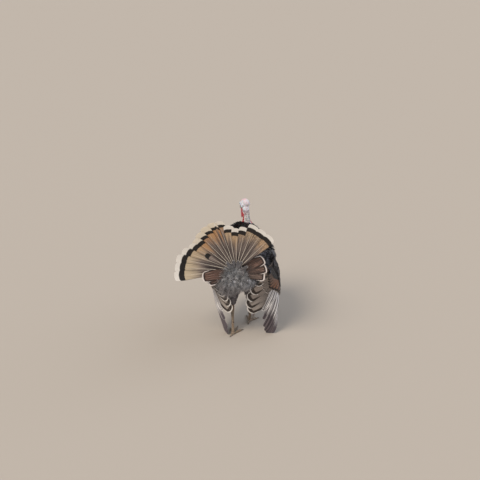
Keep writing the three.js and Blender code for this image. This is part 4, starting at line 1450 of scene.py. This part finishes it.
def bristles(name, count, rows, girth, seed):
    """Thin rods that follow one line and spread about it."""
    dice = np.random.default_rng(seed)
    line = smooth_line(BEARD, rows + 1)
    spread = smooth_line(BEARD_SPREAD, rows + 1)[:, 0]
    share = np.linspace(0, 1, rows + 1)
    reach = share * dice.uniform(0.72, 1.0, count)[:, None]
    turn, far = dice.uniform(0, 2 * np.pi, count), np.sqrt(dice.uniform(0, 1, count))
    paths = np.stack([np.interp(reach, share, line[:, k]) for k in range(3)], -1)
    off = np.stack([np.cos(turn), 0.6 * np.sin(turn), 0 * turn], 1) * far[:, None]
    paths = paths + off[:, None] * np.interp(reach, share, spread)[..., None]
    paths[..., 0] += 2 * np.sin(share * dice.uniform(2, 5, (count, 1)) + turn[:, None]) * share
    ring = [(math.cos(a), math.sin(a), 0) for a in (0, -2.094, -4.189)]
    tones = np.repeat(dice.uniform(0, 1, count), 3 * (rows + 1))
    shares = np.tile(np.repeat(share, 3), count)
    points, faces = rods(paths, np.tile(girth * (1 - 0.65 * share), (count, 1)), ring)
    made = mesh_object(name, points, faces, {"tone": tones, "reach": shares})
    lay_out(made, np.stack([tones, shares], 1) * 0.9 + 0.05)
    return made


beard = bristles("beard_bristles", 170, 12, 0.95, 4)
print("beard:", len(beard.data.polygons), "triangles")

# %% [markdown]
# ## Eyes, bill, claws and spurs
#
# The eye is a ball with a clear bulge over a dark brown iris. It sits inside the lids, so only its front shows.
# Bill, claws and spurs are horn. Their solids have the right shape already, with few faces, so each is rounded
# with a subdivision surface on a merged copy, and the bill gets its nostrils.

# %% Eyes
def eye(name, out):
    """A ball that faces out of the head, with each vertex's distance from the pupil's centre."""
    centre, forwards, up, outwards = eye_frame(out)
    rings, sides = 22, 32
    angle = np.linspace(0, np.pi, rings + 1)[1:-1, None]
    turn = np.linspace(0, 2 * np.pi, sides, endpoint=False)[None]
    ahead, above = np.sin(angle) * np.cos(turn), np.sin(angle) * np.sin(turn)
    ray = np.cos(angle)[..., None] * outwards + ahead[..., None] * forwards + above[..., None] * up
    bulge = 1 + 0.07 * np.exp(-((angle / 0.55) ** 2)) + 0 * turn
    points = (centre + ray * (EYE["radius"] * bulge)[..., None]).reshape(-1, 3)
    points = np.vstack([points, centre + outwards * EYE["radius"] * 1.07, centre - outwards * EYE["radius"]])
    quads = ring_quads(rings - 2, sides)
    j = np.arange(sides)
    k, last, pole = (j + 1) % sides, (rings - 2) * sides, np.full(sides, (rings - 1) * sides)
    caps = np.stack([pole, j, k], 1), np.stack([pole + 1, last + k, last + j], 1)
    faces = np.vstack([quads[:, [0, 3, 2]], quads[:, [0, 2, 1]], *caps])
    if out < 0:
        faces = faces[:, ::-1]
    from_pupil = np.concatenate([(angle + 0 * turn).ravel(), [0, np.pi]]) * EYE["radius"]
    return mesh_object(name, points, faces, {"from_pupil": from_pupil})


eyes = {side: eye(side + "_eye_ball", OUTWARDS[side]) for side in OUTWARDS}
print("eye centres, metres:", [metres(eye_frame(out)[0]).round(3).tolist() for out in (1, -1)])


# %% Bill, claws and spurs
def horn(node, levels):
    """A rounded copy of a horny solid, as a piece of its own."""
    made = from_solid(node, levels=levels)
    made.name = made.data.name = node + "_horn"
    made.data.polygons.foreach_set("use_smooth", np.ones(len(made.data.polygons), bool))
    return made


def nostrils(form):
    """Presses a nostril into each side of the bill, with a raised lid over it."""
    places = corners(form)
    for out in (1, -1):
        centre = on_head(51, out * 7.6, 4.0)
        forwards, inwards, upwards = (
            unit(on_head(*place) - centre) for place in ((57, out * 7.2, 3.0), (51, 0, 3.0), (51, 0, 20))
        )
        offset = places - centre
        ahead = offset @ forwards
        beside = np.linalg.norm(offset - ahead[:, None] * forwards, axis=1)
        dent = np.exp(-((ahead / 3.0) ** 2) - (beside / 1.7) ** 2)
        lid = np.exp(-((ahead / 3.6) ** 2) - ((beside - 2.4) / 1.1) ** 2) * (offset @ upwards > 0)
        places = places + inwards * (2.2 * dent - 0.7 * lid)[:, None]
    move_to(form, places)
    return form


bill = {"upper_bill": nostrils(horn("upper_bill", 4)), "lower_bill": horn("lower_bill", 3)}
claws = {}
for side in OUTWARDS:
    for part in (*[toe + "_claw" for toe in TOE_HEADINGS], "spur"):
        claws[f"{side}_{part}"] = horn(f"{side}_{part}", 2)
print("horny pieces:", len(bill) + len(claws))

# %% [markdown]
# ## Finishes for the feathers
#
# A vane is a sheet of fine barbs that slant from the shaft to the edge and give it a silky, slightly streaky
# surface. They are drawn 2.4 mm apart here, so that they show. A feather's bands and rims lie at fixed
# distances from its tip and its edge, which the vertices already keep, so the finishes are painted by distance.
# Each feather also brings its own warmth, paleness and tone.

# %% What the feather finishes share
def new_finish(name, roughness, numbers, **sockets):
    """A material, its tree and main shader, and the numbers it reads from the mesh, by name."""
    material = bpy.data.materials.new(name)
    material.use_nodes = True
    tree = material.node_tree
    shader = tree.nodes["Principled BSDF"]
    shader.inputs["Roughness"].default_value = roughness
    for key, value in sockets.items():
        shader.inputs[key.replace("_", " ")].default_value = value
    kept = {key: add(tree, "ShaderNodeAttribute", attribute_name=key).outputs["Fac"] for key in numbers.split()}
    return material, tree, shader, kept


def laid(tree, colour, *layers):
    """A colour with others laid over it. A layer is its colour, the value that places it, that value where it
    starts to show and where it shows in full, and its strength, which is 1 where none is given."""
    for above, value, start, end, *strength in layers:
        share = add(
            tree, "ShaderNodeMapRange",
            {"Value": value, "From Min": start, "From Max": end, "To Max": strength[0] if strength else 1.0},
        )
        below, above = (linear(c) if isinstance(c, str) else c for c in (colour, above))
        colour = add(tree, "ShaderNodeMix", {0: share, 6: below, 7: above}, data_type="RGBA").outputs[2]
    return colour


def vane_place(tree, kept):
    """A place on a vane in metres: across from the shaft, down from the tip, and apart from other vanes."""
    apart = add(tree, "ShaderNodeMath", {0: kept["tone"], 1: 900.0}, operation="MULTIPLY")
    place = add(tree, "ShaderNodeCombineXYZ", {"X": kept["side"], "Y": kept["from_tip"], "Z": apart})
    return add(tree, "ShaderNodeVectorMath", {0: place, 3: MM}, operation="SCALE")


def blotches(tree, place, size, detail, stretch=(1, 1, 1)):
    """Soft blotches between 0 and 1, about size metres across, and longer where stretch is under 1."""
    scale = tuple(share / size for share in stretch)
    scaled_place = add(tree, "ShaderNodeMapping", {"Vector": place, "Scale": scale})
    return add(tree, "ShaderNodeTexNoise", {"Vector": scaled_place, "Scale": 1.0, "Detail": detail})


def bars(tree, distance, pitch):
    """A wave from -1 to 1 that repeats after a pitch in millimetres."""
    turns = add(tree, "ShaderNodeMath", {0: distance, 1: 2 * math.pi / pitch}, operation="MULTIPLY")
    return add(tree, "ShaderNodeMath", {0: turns}, operation="SINE")


def barbs(tree, shader, kept, pitch=2.4, depth=0.25):
    """Fine grooves that slant from the shaft to the edge, as bump."""
    out = add(tree, "ShaderNodeMath", {0: kept["side"]}, operation="ABSOLUTE")
    slant = add(tree, "ShaderNodeMath", {0: out, 1: 1.25, 2: kept["from_tip"]}, operation="MULTIPLY_ADD")
    wave = bars(tree, slant, pitch)
    bump = add(tree, "ShaderNodeBump", {"Height": wave, "Strength": 0.35, "Distance": depth * MM})
    tree.links.new(bump.outputs[0], shader.inputs["Normal"])


# %% Barred tail feather: matt keratin, silky along the barbs, with a white tip, a black band and a buff vane
def tail_finish():
    """Tip, band and vane of a tail feather, each at its own distance from the tip."""
    material, tree, shader, kept = new_finish(
        "barred_tail_vane", 0.55, "from_tip edge shaft side tone white black cream warm speckle short"
    )
    place = vane_place(tree, kept)
    rough = blotches(tree, place, 0.006, 2)
    ragged = add(tree, "ShaderNodeMath", {0: rough, 1: 7.0, 2: kept["from_tip"]}, operation="MULTIPLY_ADD")
    past_white = add(tree, "ShaderNodeMath", {0: ragged, 1: kept["white"]}, operation="SUBTRACT")
    past_black = add(tree, "ShaderNodeMath", {0: past_white, 1: kept["black"]}, operation="SUBTRACT")
    worn = add(tree, "ShaderNodeMath", {0: past_black, 1: kept["short"]}, operation="ADD")
    streaks = blotches(tree, place, 0.0075, 4, (1, 0.05, 1))
    fading = add(tree, "ShaderNodeMath", {0: streaks, 1: 90.0, 2: worn}, operation="MULTIPLY_ADD")
    flecks = blotches(tree, place, 0.0042, 1, (0.55, 1.5, 1))
    streaked, flecked = (
        add(tree, "ShaderNodeMapRange", {"Value": past_black, "From Min": a, "From Max": b, "To Max": most})
        for a, b, most in ((0.0, 130.0, 0.9), (170.0, 8.0, kept["speckle"]))
    )
    tip = laid(tree, "#F1ECE6", ("#E8DBC6", kept["cream"], 0, 1))
    quill = laid(tree, "#3A2A22", ("#E4DACC", past_black, 0, 12), ("#E6DCD0", past_white, 4, 2))
    colour = laid(
        tree, "#D2C3A8",
        ("#C28C5A", kept["warm"], 0, 1),
        ("#978880", fading, 80, 165),
        ("#5F5553", fading, 130, 240, 0.9),
        ("#30272A", streaks, 0.47, 0.62, streaked),
        ("#43342B", flecks, 0.5, 0.56, flecked),
        # painted shade: each vane darkens towards its edges, for the shade in the gaps where the tail feathers
        # lap
        ("#352B29", kept["edge"], 4.5, 0.6, 0.8),
        ("#15100F", past_black, 5, 2),
        (tip, past_white, 5, 2),
        (quill, kept["shaft"], 0, 1),
    )
    tree.links.new(colour, shader.inputs["Base Color"])
    barbs(tree, shader, kept)
    return material


# %% Laced vane: a rim and a band that follow the outline, over a base that runs from grey-brown to rust
def laced_finish(name, rim, band, rim_colour, band_colour, grey_base, rust_base, across=0.0, along=0.0):
    """Rim and band are widths in millimetres. Across and along are the strengths of fine bars and lines."""
    material, tree, shader, kept = new_finish(
        name, 0.55, "from_tip edge side shaft tone rust", Sheen_Weight=0.15
    )
    place = vane_place(tree, kept)
    tip = kept["from_tip"]
    sides = add(tree, "ShaderNodeMath", {0: tip, 1: 0.16, 2: kept["edge"]}, operation="MULTIPLY_ADD")
    inside = add(tree, "ShaderNodeMath", {0: tip, 1: sides}, operation="MINIMUM")
    rough = blotches(tree, place, 0.007, 2)
    depth = add(tree, "ShaderNodeMath", {0: rough, 1: 5.0, 2: inside}, operation="MULTIPLY_ADD")
    streaks = blotches(tree, place, 0.0075, 4, (1, 0.07, 1))
    marks = [(rust_base, kept["rust"], 0, 1), ("#2E2624", streaks, 0.48, 0.7, 0.75)]
    if along:
        fine = blotches(tree, place, 0.005, 2, (1, 0.05, 1))
        marks += [("#2A1B17", fine, 0.5, 0.58, along), ("#A5897E", fine, 0.44, 0.36, along)]
    # darker far from the tip: partly each feather's own dusky base, partly painted shade where the next feather
    # lies over it
    marks += [("#352D2C", tip, 70, 150, 0.75)]
    if across:
        off = add(tree, "ShaderNodeMath", {0: kept["side"]}, operation="ABSOLUTE")
        bent = add(tree, "ShaderNodeMath", {0: off, 1: -0.8, 2: tip}, operation="MULTIPLY_ADD")
        loose = blotches(tree, place, 0.02, 2)
        bent = add(tree, "ShaderNodeMath", {0: loose, 1: 14.0, 2: bent}, operation="MULTIPLY_ADD")
        wave = bars(tree, bent, 11)
        marks += [("#3A3230", wave, 0.1, 0.7, across), ("#B9AFA8", wave, -0.3, -0.9, across)]
    colour = laid(
        tree, grey_base, *marks,
        (band_colour, depth, rim + band + 6, rim + band),
        (rim_colour, depth, rim + 3.5, rim + 1.5),
        (laid(tree, "#A99C92", ("#4A3A32", kept["rust"], 0.2, 0.8)), kept["shaft"], 0, 1, 0.9),
    )
    tree.links.new(colour, shader.inputs["Base Color"])
    barbs(tree, shader, kept)
    return material


# %% Primary vane: stiff and smooth, slate grey at the tip and washed nearly white further up
def primary_finish():
    """Grey towards the tip, paler up the vane, with dark lines beside the shaft and along the outer edge."""
    material, tree, shader, kept = new_finish(
        "primary_vane", 0.5, "from_tip edge side shaft tone pale wash lined rimmed"
    )
    place = vane_place(tree, kept)
    streaks, loose = blotches(tree, place, 0.005, 3, (1, 0.05, 1)), blotches(tree, place, 0.02, 2)
    reach = add(tree, "ShaderNodeMath", {0: streaks, 1: 60.0, 2: kept["from_tip"]}, operation="MULTIPLY_ADD")
    bent = add(tree, "ShaderNodeMath", {0: kept["side"], 1: 1.3, 2: kept["from_tip"]}, operation="MULTIPLY_ADD")
    bent = add(tree, "ShaderNodeMath", {0: loose, 1: 20.0, 2: bent}, operation="MULTIPLY_ADD")
    above_grey = add(tree, "ShaderNodeMath", {0: reach, 1: kept["wash"]}, operation="SUBTRACT")
    washed = add(
        tree, "ShaderNodeMapRange",
        {"Value": above_grey, "From Min": 0.0, "From Max": 55.0, "To Max": kept["pale"]},
    )
    near_shaft = add(tree, "ShaderNodeMath", {0: kept["side"]}, operation="ABSOLUTE")
    rim = add(tree, "ShaderNodeMath", {0: kept["from_tip"], 1: kept["edge"]}, operation="MINIMUM")
    colour = laid(
        tree, "#564E56",
        ("#6E6468", streaks, 0.4, 0.6),
        ("#EFEBEA", streaks, 0.2, 0.42, washed),
        ("#4B4348", bars(tree, bent, 17), 0.35, 0.8, 0.2),
        ("#2F292E", near_shaft, 4.4, 3.2, kept["lined"]),
        ("#332C31", kept["side"], 12, 14, kept["lined"]),
        ("#3B3336", rim, 9.0, 5.5, kept["rimmed"]),
        ("#F3EEEC", rim, 5.0, 3.6, kept["rimmed"]),
        ("#7E7478", kept["shaft"], 0, 1, 0.8),
    )
    tree.links.new(colour, shader.inputs["Base Color"])
    barbs(tree, shader, kept)
    return material


# %% Small dark feathers: dense, glossy, blue-black with a bronze cast; some have a thin pale rim, partly painted glint
def contour_finish(name, dark, cool, warm, fringe_and_glint, fringe_and_glint_tone, roughness=0.4):
    """The last colour is a thin pale rim, partly real pale edging and partly painted highlight, the glints of
    light on the gloss; the tone after it is the one above which a feather has that rim, 1 for none.
    """
    material, tree, shader, kept = new_finish(
        name, roughness, "from_tip edge side tone", Sheen_Weight=0.1, Coat_Weight=0.12, Coat_Roughness=0.3
    )
    place = vane_place(tree, kept)
    body = add(tree, "ShaderNodeTexCoord").outputs["Object"]
    has = add(
        tree, "ShaderNodeMapRange", {"Value": kept["tone"], "From Min": fringe_and_glint_tone, "From Max": fringe_and_glint_tone + 0.02}
    )
    inside = add(tree, "ShaderNodeMath", {0: kept["from_tip"], 1: kept["edge"]}, operation="MINIMUM")
    colour = laid(
        tree, dark,
        (cool, blotches(tree, body, 0.05, 2), 0.42, 0.62, 0.8),
        (warm, blotches(tree, body, 0.07, 2, (1, 1.3, 0.8)), 0.5, 0.7, 0.7),
        (dark, blotches(tree, place, 0.008, 3, (1, 0.15, 1)), 0.5, 0.65, 0.8),
        (dark, kept["from_tip"], 9, 4, 0.8),
        # painted highlight in part: on the black feathers the thin pale rim stands partly for glints of light
        # on the gloss
        (fringe_and_glint, inside, 1.9, 0.7, has),
    )
    tree.links.new(colour, shader.inputs["Base Color"])
    barbs(tree, shader, kept, 2.0, 0.2)
    return material


# %% Down: loose barbs with no gloss at all, smoke grey with paler ends, and some wisps nearly white
def down_finish():
    """Grey in soft clumps, darker on the bird's left as painted shade, browner lower down and paler towards the
    ends.
    """
    material, tree, shader, kept = new_finish(
        "smoke_grey_down", 0.85, "from_tip side tone", Sheen_Weight=0.4, Sheen_Roughness=0.6
    )
    body = add(tree, "ShaderNodeTexCoord").outputs["Object"]
    side, _, height = add(tree, "ShaderNodeSeparateXYZ", {"Vector": body}).outputs
    clumps = blotches(tree, body, 0.026, 1.5, (1, 1, 0.7))
    wisp = add(tree, "ShaderNodeMapRange", {"Value": kept["tone"], "From Min": 0.66, "From Max": 0.8})
    colour = laid(
        tree, "#3A3A44",
        ("#A3A2A8", blotches(tree, body, 0.055, 2), 0.4, 0.6),
        ("#A9AFB8", side, 0.02, -0.01, 0.45),
        ("#9C8F92", height, 0.44, 0.39, 0.75),
        ("#15151A", clumps, 0.51, 0.58, 0.85),
        # painted shade over the bird's left side of the down
        ("#D5D3D6", clumps, 0.45, 0.37, 0.6),
        ("#202229", side, 0.015, 0.06, 0.65),
        ("#34343B", blotches(tree, vane_place(tree, kept), 0.007, 4, (1, 0.12, 1)), 0.5, 0.75, 0.7),
        ("#AAA9AE", kept["from_tip"], 26, 2, 0.4),
        ("#DED9D7", kept["from_tip"], 40, 6, wisp),
    )
    tree.links.new(colour, shader.inputs["Base Color"])
    barbs(tree, shader, kept, 2.2, 0.35)
    return material


LACED = {
    kind: laced_finish(*look)
    for kind, look in {
        "secondaries": ("laced_secondary_vane", 8.0, 21.0, "#EEE8E2", "#2C201A", "#B8ACA2", "#94745E", 0.35),
        "coverts": ("rust_covert_vane", 1.2, 13.0, "#B59C86", "#17110F", "#6B5A52", "#84502F", 0.25),
        "median": ("black_covert_vane", 0.4, 5.0, "#3A3D45", "#0D0D11", "#1A1D26", "#33231B"),
        "tertials": ("grey_tertial_vane", 2.6, 6.0, "#DDD3CB", "#4A3C36", "#85786F", "#7B5A45", 0.3),
        "side": ("white_laced_rust_vane", 8.5, 10.0, "#EAE0DC", "#2C1C18", "#5A4B43", "#70493A", 0.15, 0.8),
        "upper": ("tail_covert_vane", 5.0, 11.0, "#E4D8C8", "#1A1312", "#5F4A40", "#7E5233", 0.3),
        "under": ("grey_under_covert_vane", 2.4, 3.0, "#B5AFAD", "#4A4A50", "#64646A", "#6A625F", 0.1),
    }.items()
}
TAIL_FINISH = tail_finish()
PRIMARY_FINISH = primary_finish()
# the pale rim colour of the black feathers is partly a painted glint
BLACK_FINISH = contour_finish("blue_black_body_feather", "#111116", "#1E2029", "#2B211D", "#8C8797", 0.62)
THIGH_FINISH = contour_finish("smoky_thigh_feather", "#6A6366", "#8B858A", "#7F7375", "#B5ABA6", 0.6, 0.6)
DOWN_FINISH = down_finish()
for piece in (tail, growing_feather):
    piece.data.materials.append(TAIL_FINISH)
for node, piece in tail_coverts.items():
    piece.data.materials.append(LACED.get(node.split("_")[0], LACED["side"]))
for (side, kind), piece in flight.items():
    piece.data.materials.append(PRIMARY_FINISH if kind == "primaries" else LACED[kind])
print("feather finishes:", len(bpy.data.materials))

# %% The coats, grown
FRONT = trunk_roots["place"][:, 1] < -10
coats = [
    coat("breast_coat", {key: v[FRONT] for key, v in trunk_roots.items()}, contour, BLACK_FINISH, 0.08, 5),
    coat("back_coat", {key: v[~FRONT] for key, v in trunk_roots.items()}, contour, BLACK_FINISH, 0.08, 6),
    coat("thigh_coat", thigh_roots, contour, THIGH_FINISH, 0.12, 7),
    coat("left_arm_coat", arm_roots["left"], contour, BLACK_FINISH, 0.06, 8),
    coat("right_arm_coat", arm_roots["right"], contour, BLACK_FINISH, 0.06, 9),
    coat("vent_down", vent_roots, down, DOWN_FINISH, 0.25, 10),
    coat("vent_down_tufts", fluff_roots["vent"], tufts, DOWN_FINISH, 0.3, 11),
    coat("rump_down_tufts", fluff_roots["rump"], tufts, DOWN_FINISH, 0.3, 12),
]
for group in (contour, down, tufts):
    for piece in list(group.objects):
        bpy.data.objects.remove(piece)
    bpy.data.collections.remove(group)
bpy.data.objects.remove(outer_trunk)
print("triangles in the coats:", sum(triangles(piece) for piece in coats))

# %% [markdown]
# ## Bare skin
#
# A strutting gobbler's head is white and pale blue, its neck is covered with whitish beads on lilac skin, and
# the dewlap, the snood and the collar of caruncles are scarlet. The shanks are horn-coloured. Each region is a
# soft share, kept on the skin's vertices and worked out from the same places that shaped it. Skin scatters
# light, so it gets a little subsurface.

# %% Regions of the skin
def soft(values, start, end):
    """0 at start and 1 at end, with a smooth step between them."""
    share = np.clip((values - start) / (end - start), 0, 1)
    return share * share * (3 - 2 * share)


def near_both(along, side, up, radii):
    """1 at a place on the head and at its mirror place, falling to nothing a little past the radii."""
    centres = np.array([(along, side, up), (along, -side, up)], float)
    return sum(np.exp(-1.6 * (((local - centre) / np.array(radii, float)) ** 2).sum(1)) for centre in centres)


def near_line(places, line, reach):
    """1 along a line of points, falling to nothing past its reach."""
    line = smooth_line(line, 24)
    nearest = np.min([((places - point) ** 2).sum(1) for point in line], axis=0)
    return 1 - soft(np.sqrt(nearest), reach * 0.7, reach * 1.15)


places = corners(skin)
local = (places - np.array(HEAD_CENTRE)) @ np.array(HEAD_FRAME.to_3x3())
line, radii = smooth_line(NECK, 80), smooth_line(NECK_RADII, 80)[:, 0]
spans = np.stack([((places - point) ** 2).sum(1) for point in line])
nearest = spans.argmin(0)
proud = np.sqrt(spans.min(0)) - radii[nearest]
turn = np.degrees(np.arctan2(places[:, 0] - line[nearest, 0], -(places[:, 1] - line[nearest, 1])))
height = places[:, 2]
snood_low, snood_high = (bird_mm(corner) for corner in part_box("snood"))
in_snood = ((places > snood_low - 1) & (places < snood_high + 1)).all(1)
at_neck = soft(height, 640, 656) * (1 - soft(height, 752, 772))
bare = soft(height, 646, 654) * (np.hypot(places[:, 0] - 16, places[:, 1] + 205) < 125)
legs_share = (1 - soft(height, 222, 240)) * (height < 240)
front = 1 - soft(np.abs(turn - 45), 91, 109)
regions = {
    "head_share": soft(height, 752, 776) * bare,
    "crown": (
        soft(local[:, 2], 14, 26) * (1 - 0.6 * soft(local[:, 0], 10, 30)) + 0.5 * soft(-local[:, 0], 24, 36)
    ) * bare,
    "blue": np.clip(near_both(14, 19, 4, (17, 12, 12)) + 0.7 * near_both(-6, 22, -12, (14, 12, 12)), 0, 1),
    "bead": soft(proud, 0.2, 2.6) * at_neck,
    "green": np.exp(-(((height - 712) / 20) ** 2)) * at_neck * (1 - front),
    "red": np.clip(
        near_line(places, DEWLAP_LINE, 15) + front * at_neck * (1 - soft(height, 738, 756))
        + (1 - soft(height, 672, 690)) * (1 - soft(np.abs(turn), 70, 100)), 0, 1,
    ) * bare,
    "snood_share": in_snood.astype(float) * (local[:, 0] > 20),
    "leg_share": legs_share,
    "hidden": 1 - np.clip(bare + legs_share, 0, 1),
    "lid": np.clip(near_both(EYE["along"], EYE["side"], EYE["up"], (9, 8, 8.5)), 0, 1),
}
for key, values in regions.items():
    put(skin.data, key, values)
print("bare skin:", int(bare.sum()), "of", len(places), "vertices")


# %% Living skin: soft, slightly moist, thin enough to scatter light, wrinkled at about a millimetre
def skin_finish():
    """Head, neck, wattles and legs, each region laid over the last."""
    material, tree, shader, kept = new_finish(
        "living_skin", 0.48, " ".join(regions), Subsurface_Weight=0.12, Subsurface_Scale=0.004
    )
    place = add(tree, "ShaderNodeTexCoord").outputs["Object"]
    mottle = blotches(tree, place, 0.006, 3)
    fine = blotches(tree, place, 0.0016, 3)
    # the pale red and pink blotches are partly painted highlight, the dark red flecks partly painted shade in
    # wrinkles
    red = laid(tree, "#B01F2C", ("#D2474F", mottle, 0.42, 0.66), ("#7E1520", fine, 0.5, 0.75, 0.5))
    snood = laid(tree, "#B93C4A", ("#D98C95", mottle, 0.35, 0.65))
    leg = laid(tree, "#857262", ("#9C8A76", mottle, 0.4, 0.6), ("#54463D", fine, 0.5, 0.72, 0.6))
    colour = laid(
        tree, "#94727E",
        ("#E6EAF2", kept["head_share"], 0, 1),
        ("#8F99A0", mottle, 0.45, 0.7, 0.35),
        ("#97A096", kept["green"], 0, 1, 0.75),
        ("#E0B6B7", kept["crown"], 0.1, 1, 0.8),
        ("#A3C0E8", kept["blue"], 0.1, 0.9, 0.7),
        ("#E6E0E0", kept["bead"], 0.45, 1, 0.9),
        ("#6D6872", kept["lid"], 0.62, 0.85, 0.8),
        ("#F0EDEE", fine, 0.55, 0.75, 0.25),
        (red, kept["red"], 0.2, 0.75),
        (snood, kept["snood_share"], 0, 1),
        (leg, kept["leg_share"], 0, 1),
        # painted shade: the skin the plumage covers is nearly black, for the shade under the feathers
        ("#241F20", kept["hidden"], 0.2, 0.9),
    )
    tree.links.new(colour, shader.inputs["Base Color"])
    bump = add(tree, "ShaderNodeBump", {"Height": fine, "Strength": 0.3, "Distance": 0.4 * MM})
    tree.links.new(bump.outputs[0], shader.inputs["Normal"])
    return material


skin.data.materials.clear()
skin.data.materials.append(skin_finish())
skin.data.polygons.foreach_set("material_index", np.zeros(len(skin.data.polygons), np.int32))

# %% [markdown]
# ## Horn, eyes and beard
#
# Horn is keratin, as feathers are, but solid: smooth, a little translucent at thin edges, with a soft gloss.
# The eye is wet, so it is by far the glossiest surface of the bird.

# %% Horn of the bill and claws: solid keratin with fine growth lines
def horn_finish(name, pale, dark, grain_size):
    """Two tones of horn in soft streaks."""
    material, tree, shader, _ = new_finish(name, 0.38, "", Coat_Weight=0.15, Coat_Roughness=0.2)
    place = add(tree, "ShaderNodeTexCoord").outputs["Object"]
    grain = blotches(tree, place, grain_size, 3, (1, 1, 0.35))
    specks = blotches(tree, place, 0.0011, 2)
    colour = laid(tree, pale, (dark, grain, 0.35, 0.7), (dark, specks, 0.55, 0.8, 0.5))
    tree.links.new(colour, shader.inputs["Base Color"])
    bump = add(tree, "ShaderNodeBump", {"Height": grain, "Strength": 0.15, "Distance": 0.3 * MM})
    tree.links.new(bump.outputs[0], shader.inputs["Normal"])
    return material


# %% Eye: a wet cornea over a dark brown iris with fine rays, and a black pupil
def eye_finish():
    """Pupil, iris and rim by distance from the pupil's centre."""
    material, tree, shader, kept = new_finish(
        "wet_brown_eye", 0.08, "from_pupil", Coat_Weight=1.0, Coat_Roughness=0.03
    )
    place = add(tree, "ShaderNodeTexCoord").outputs["Object"]
    colour = laid(
        tree, "#4A2D18",
        ("#7A4E29", blotches(tree, place, 0.0008, 2), 0.35, 0.65),
        ("#140D0A", kept["from_pupil"], 4.1, 4.7),
        ("#030303", kept["from_pupil"], 2.5, 2.2),
    )
    tree.links.new(colour, shader.inputs["Base Color"])
    return material


# %% Beard: coarse black keratin bristles, browner and duller at their worn ends
def beard_finish():
    """Black with a worn end."""
    material, tree, shader, kept = new_finish("coarse_black_bristle", 0.45, "reach tone")
    worn = ("#2A221D", kept["reach"], 0.4, 1.0)
    colour = laid(tree, "#0E0C0C", worn, ("#3A3029", kept["tone"], 0.7, 1.0, 0.4))
    tree.links.new(colour, shader.inputs["Base Color"])
    return material


BILL_HORN = horn_finish("pale_bill_horn", "#CDBFA4", "#8C7B66", 0.009)
CLAW_HORN = horn_finish("dark_claw_horn", "#5A4B42", "#2E2623", 0.006)
EYE_FINISH = eye_finish()
for piece in bill.values():
    piece.data.materials.append(BILL_HORN)
for piece in claws.values():
    piece.data.materials.append(CLAW_HORN)
for piece in eyes.values():
    piece.data.materials.append(EYE_FINISH)
beard.data.materials.append(beard_finish())
print("materials:", sorted(material.name for material in bpy.data.materials))

# %% [markdown]
# ## The pieces on the frame's body
#
# Every piece rides on the frame's one body. The table lists, for each piece, the name of a slot and the solids
# it stands for; those solids are hidden.

# %% Which piece stands for which solid
BARE = [
    "trunk", "vent", "neck", "head", "snood", "dewlap", "caruncles",
    *[f"{side}_{part}" for side in OUTWARDS for part in ("thigh", "shank", "foot")],
]
WING_SOLIDS = {"secondaries": "secondaries", "primaries": "primaries", "coverts": "wing_coverts"}
stands_for = [
    (skin, "bare_skin", BARE),
    (tail, "tail_feathers", ["tail_fan"]),
    (growing_feather, "tail_feathers", []),
    *[(piece, "tail_coverts", [node]) for node, piece in tail_coverts.items()],
    (beard, "beard_bristle", ["beard"]),
    *[(piece, "horn", [node]) for node, piece in bill.items()],
    *[(piece, "eye", [side + "_eye"]) for side, piece in eyes.items()],
    *[(piece, "claw_horn", [node]) for node, piece in claws.items()],
    *[(piece, "wing_feathers", [f"{side}_{WING_SOLIDS[kind]}"] if kind in WING_SOLIDS else [])
      for (side, kind), piece in flight.items()],
    *[(piece, "fluff" if "down" in piece.name else "body_feathers", []) for piece in coats],
]
for piece, slot, nodes in stands_for:
    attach(piece, "root")
    if nodes:
        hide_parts(*nodes)
print("pieces:", len(stands_for), "solids replaced:", sum(len(nodes) for _, _, nodes in stands_for))
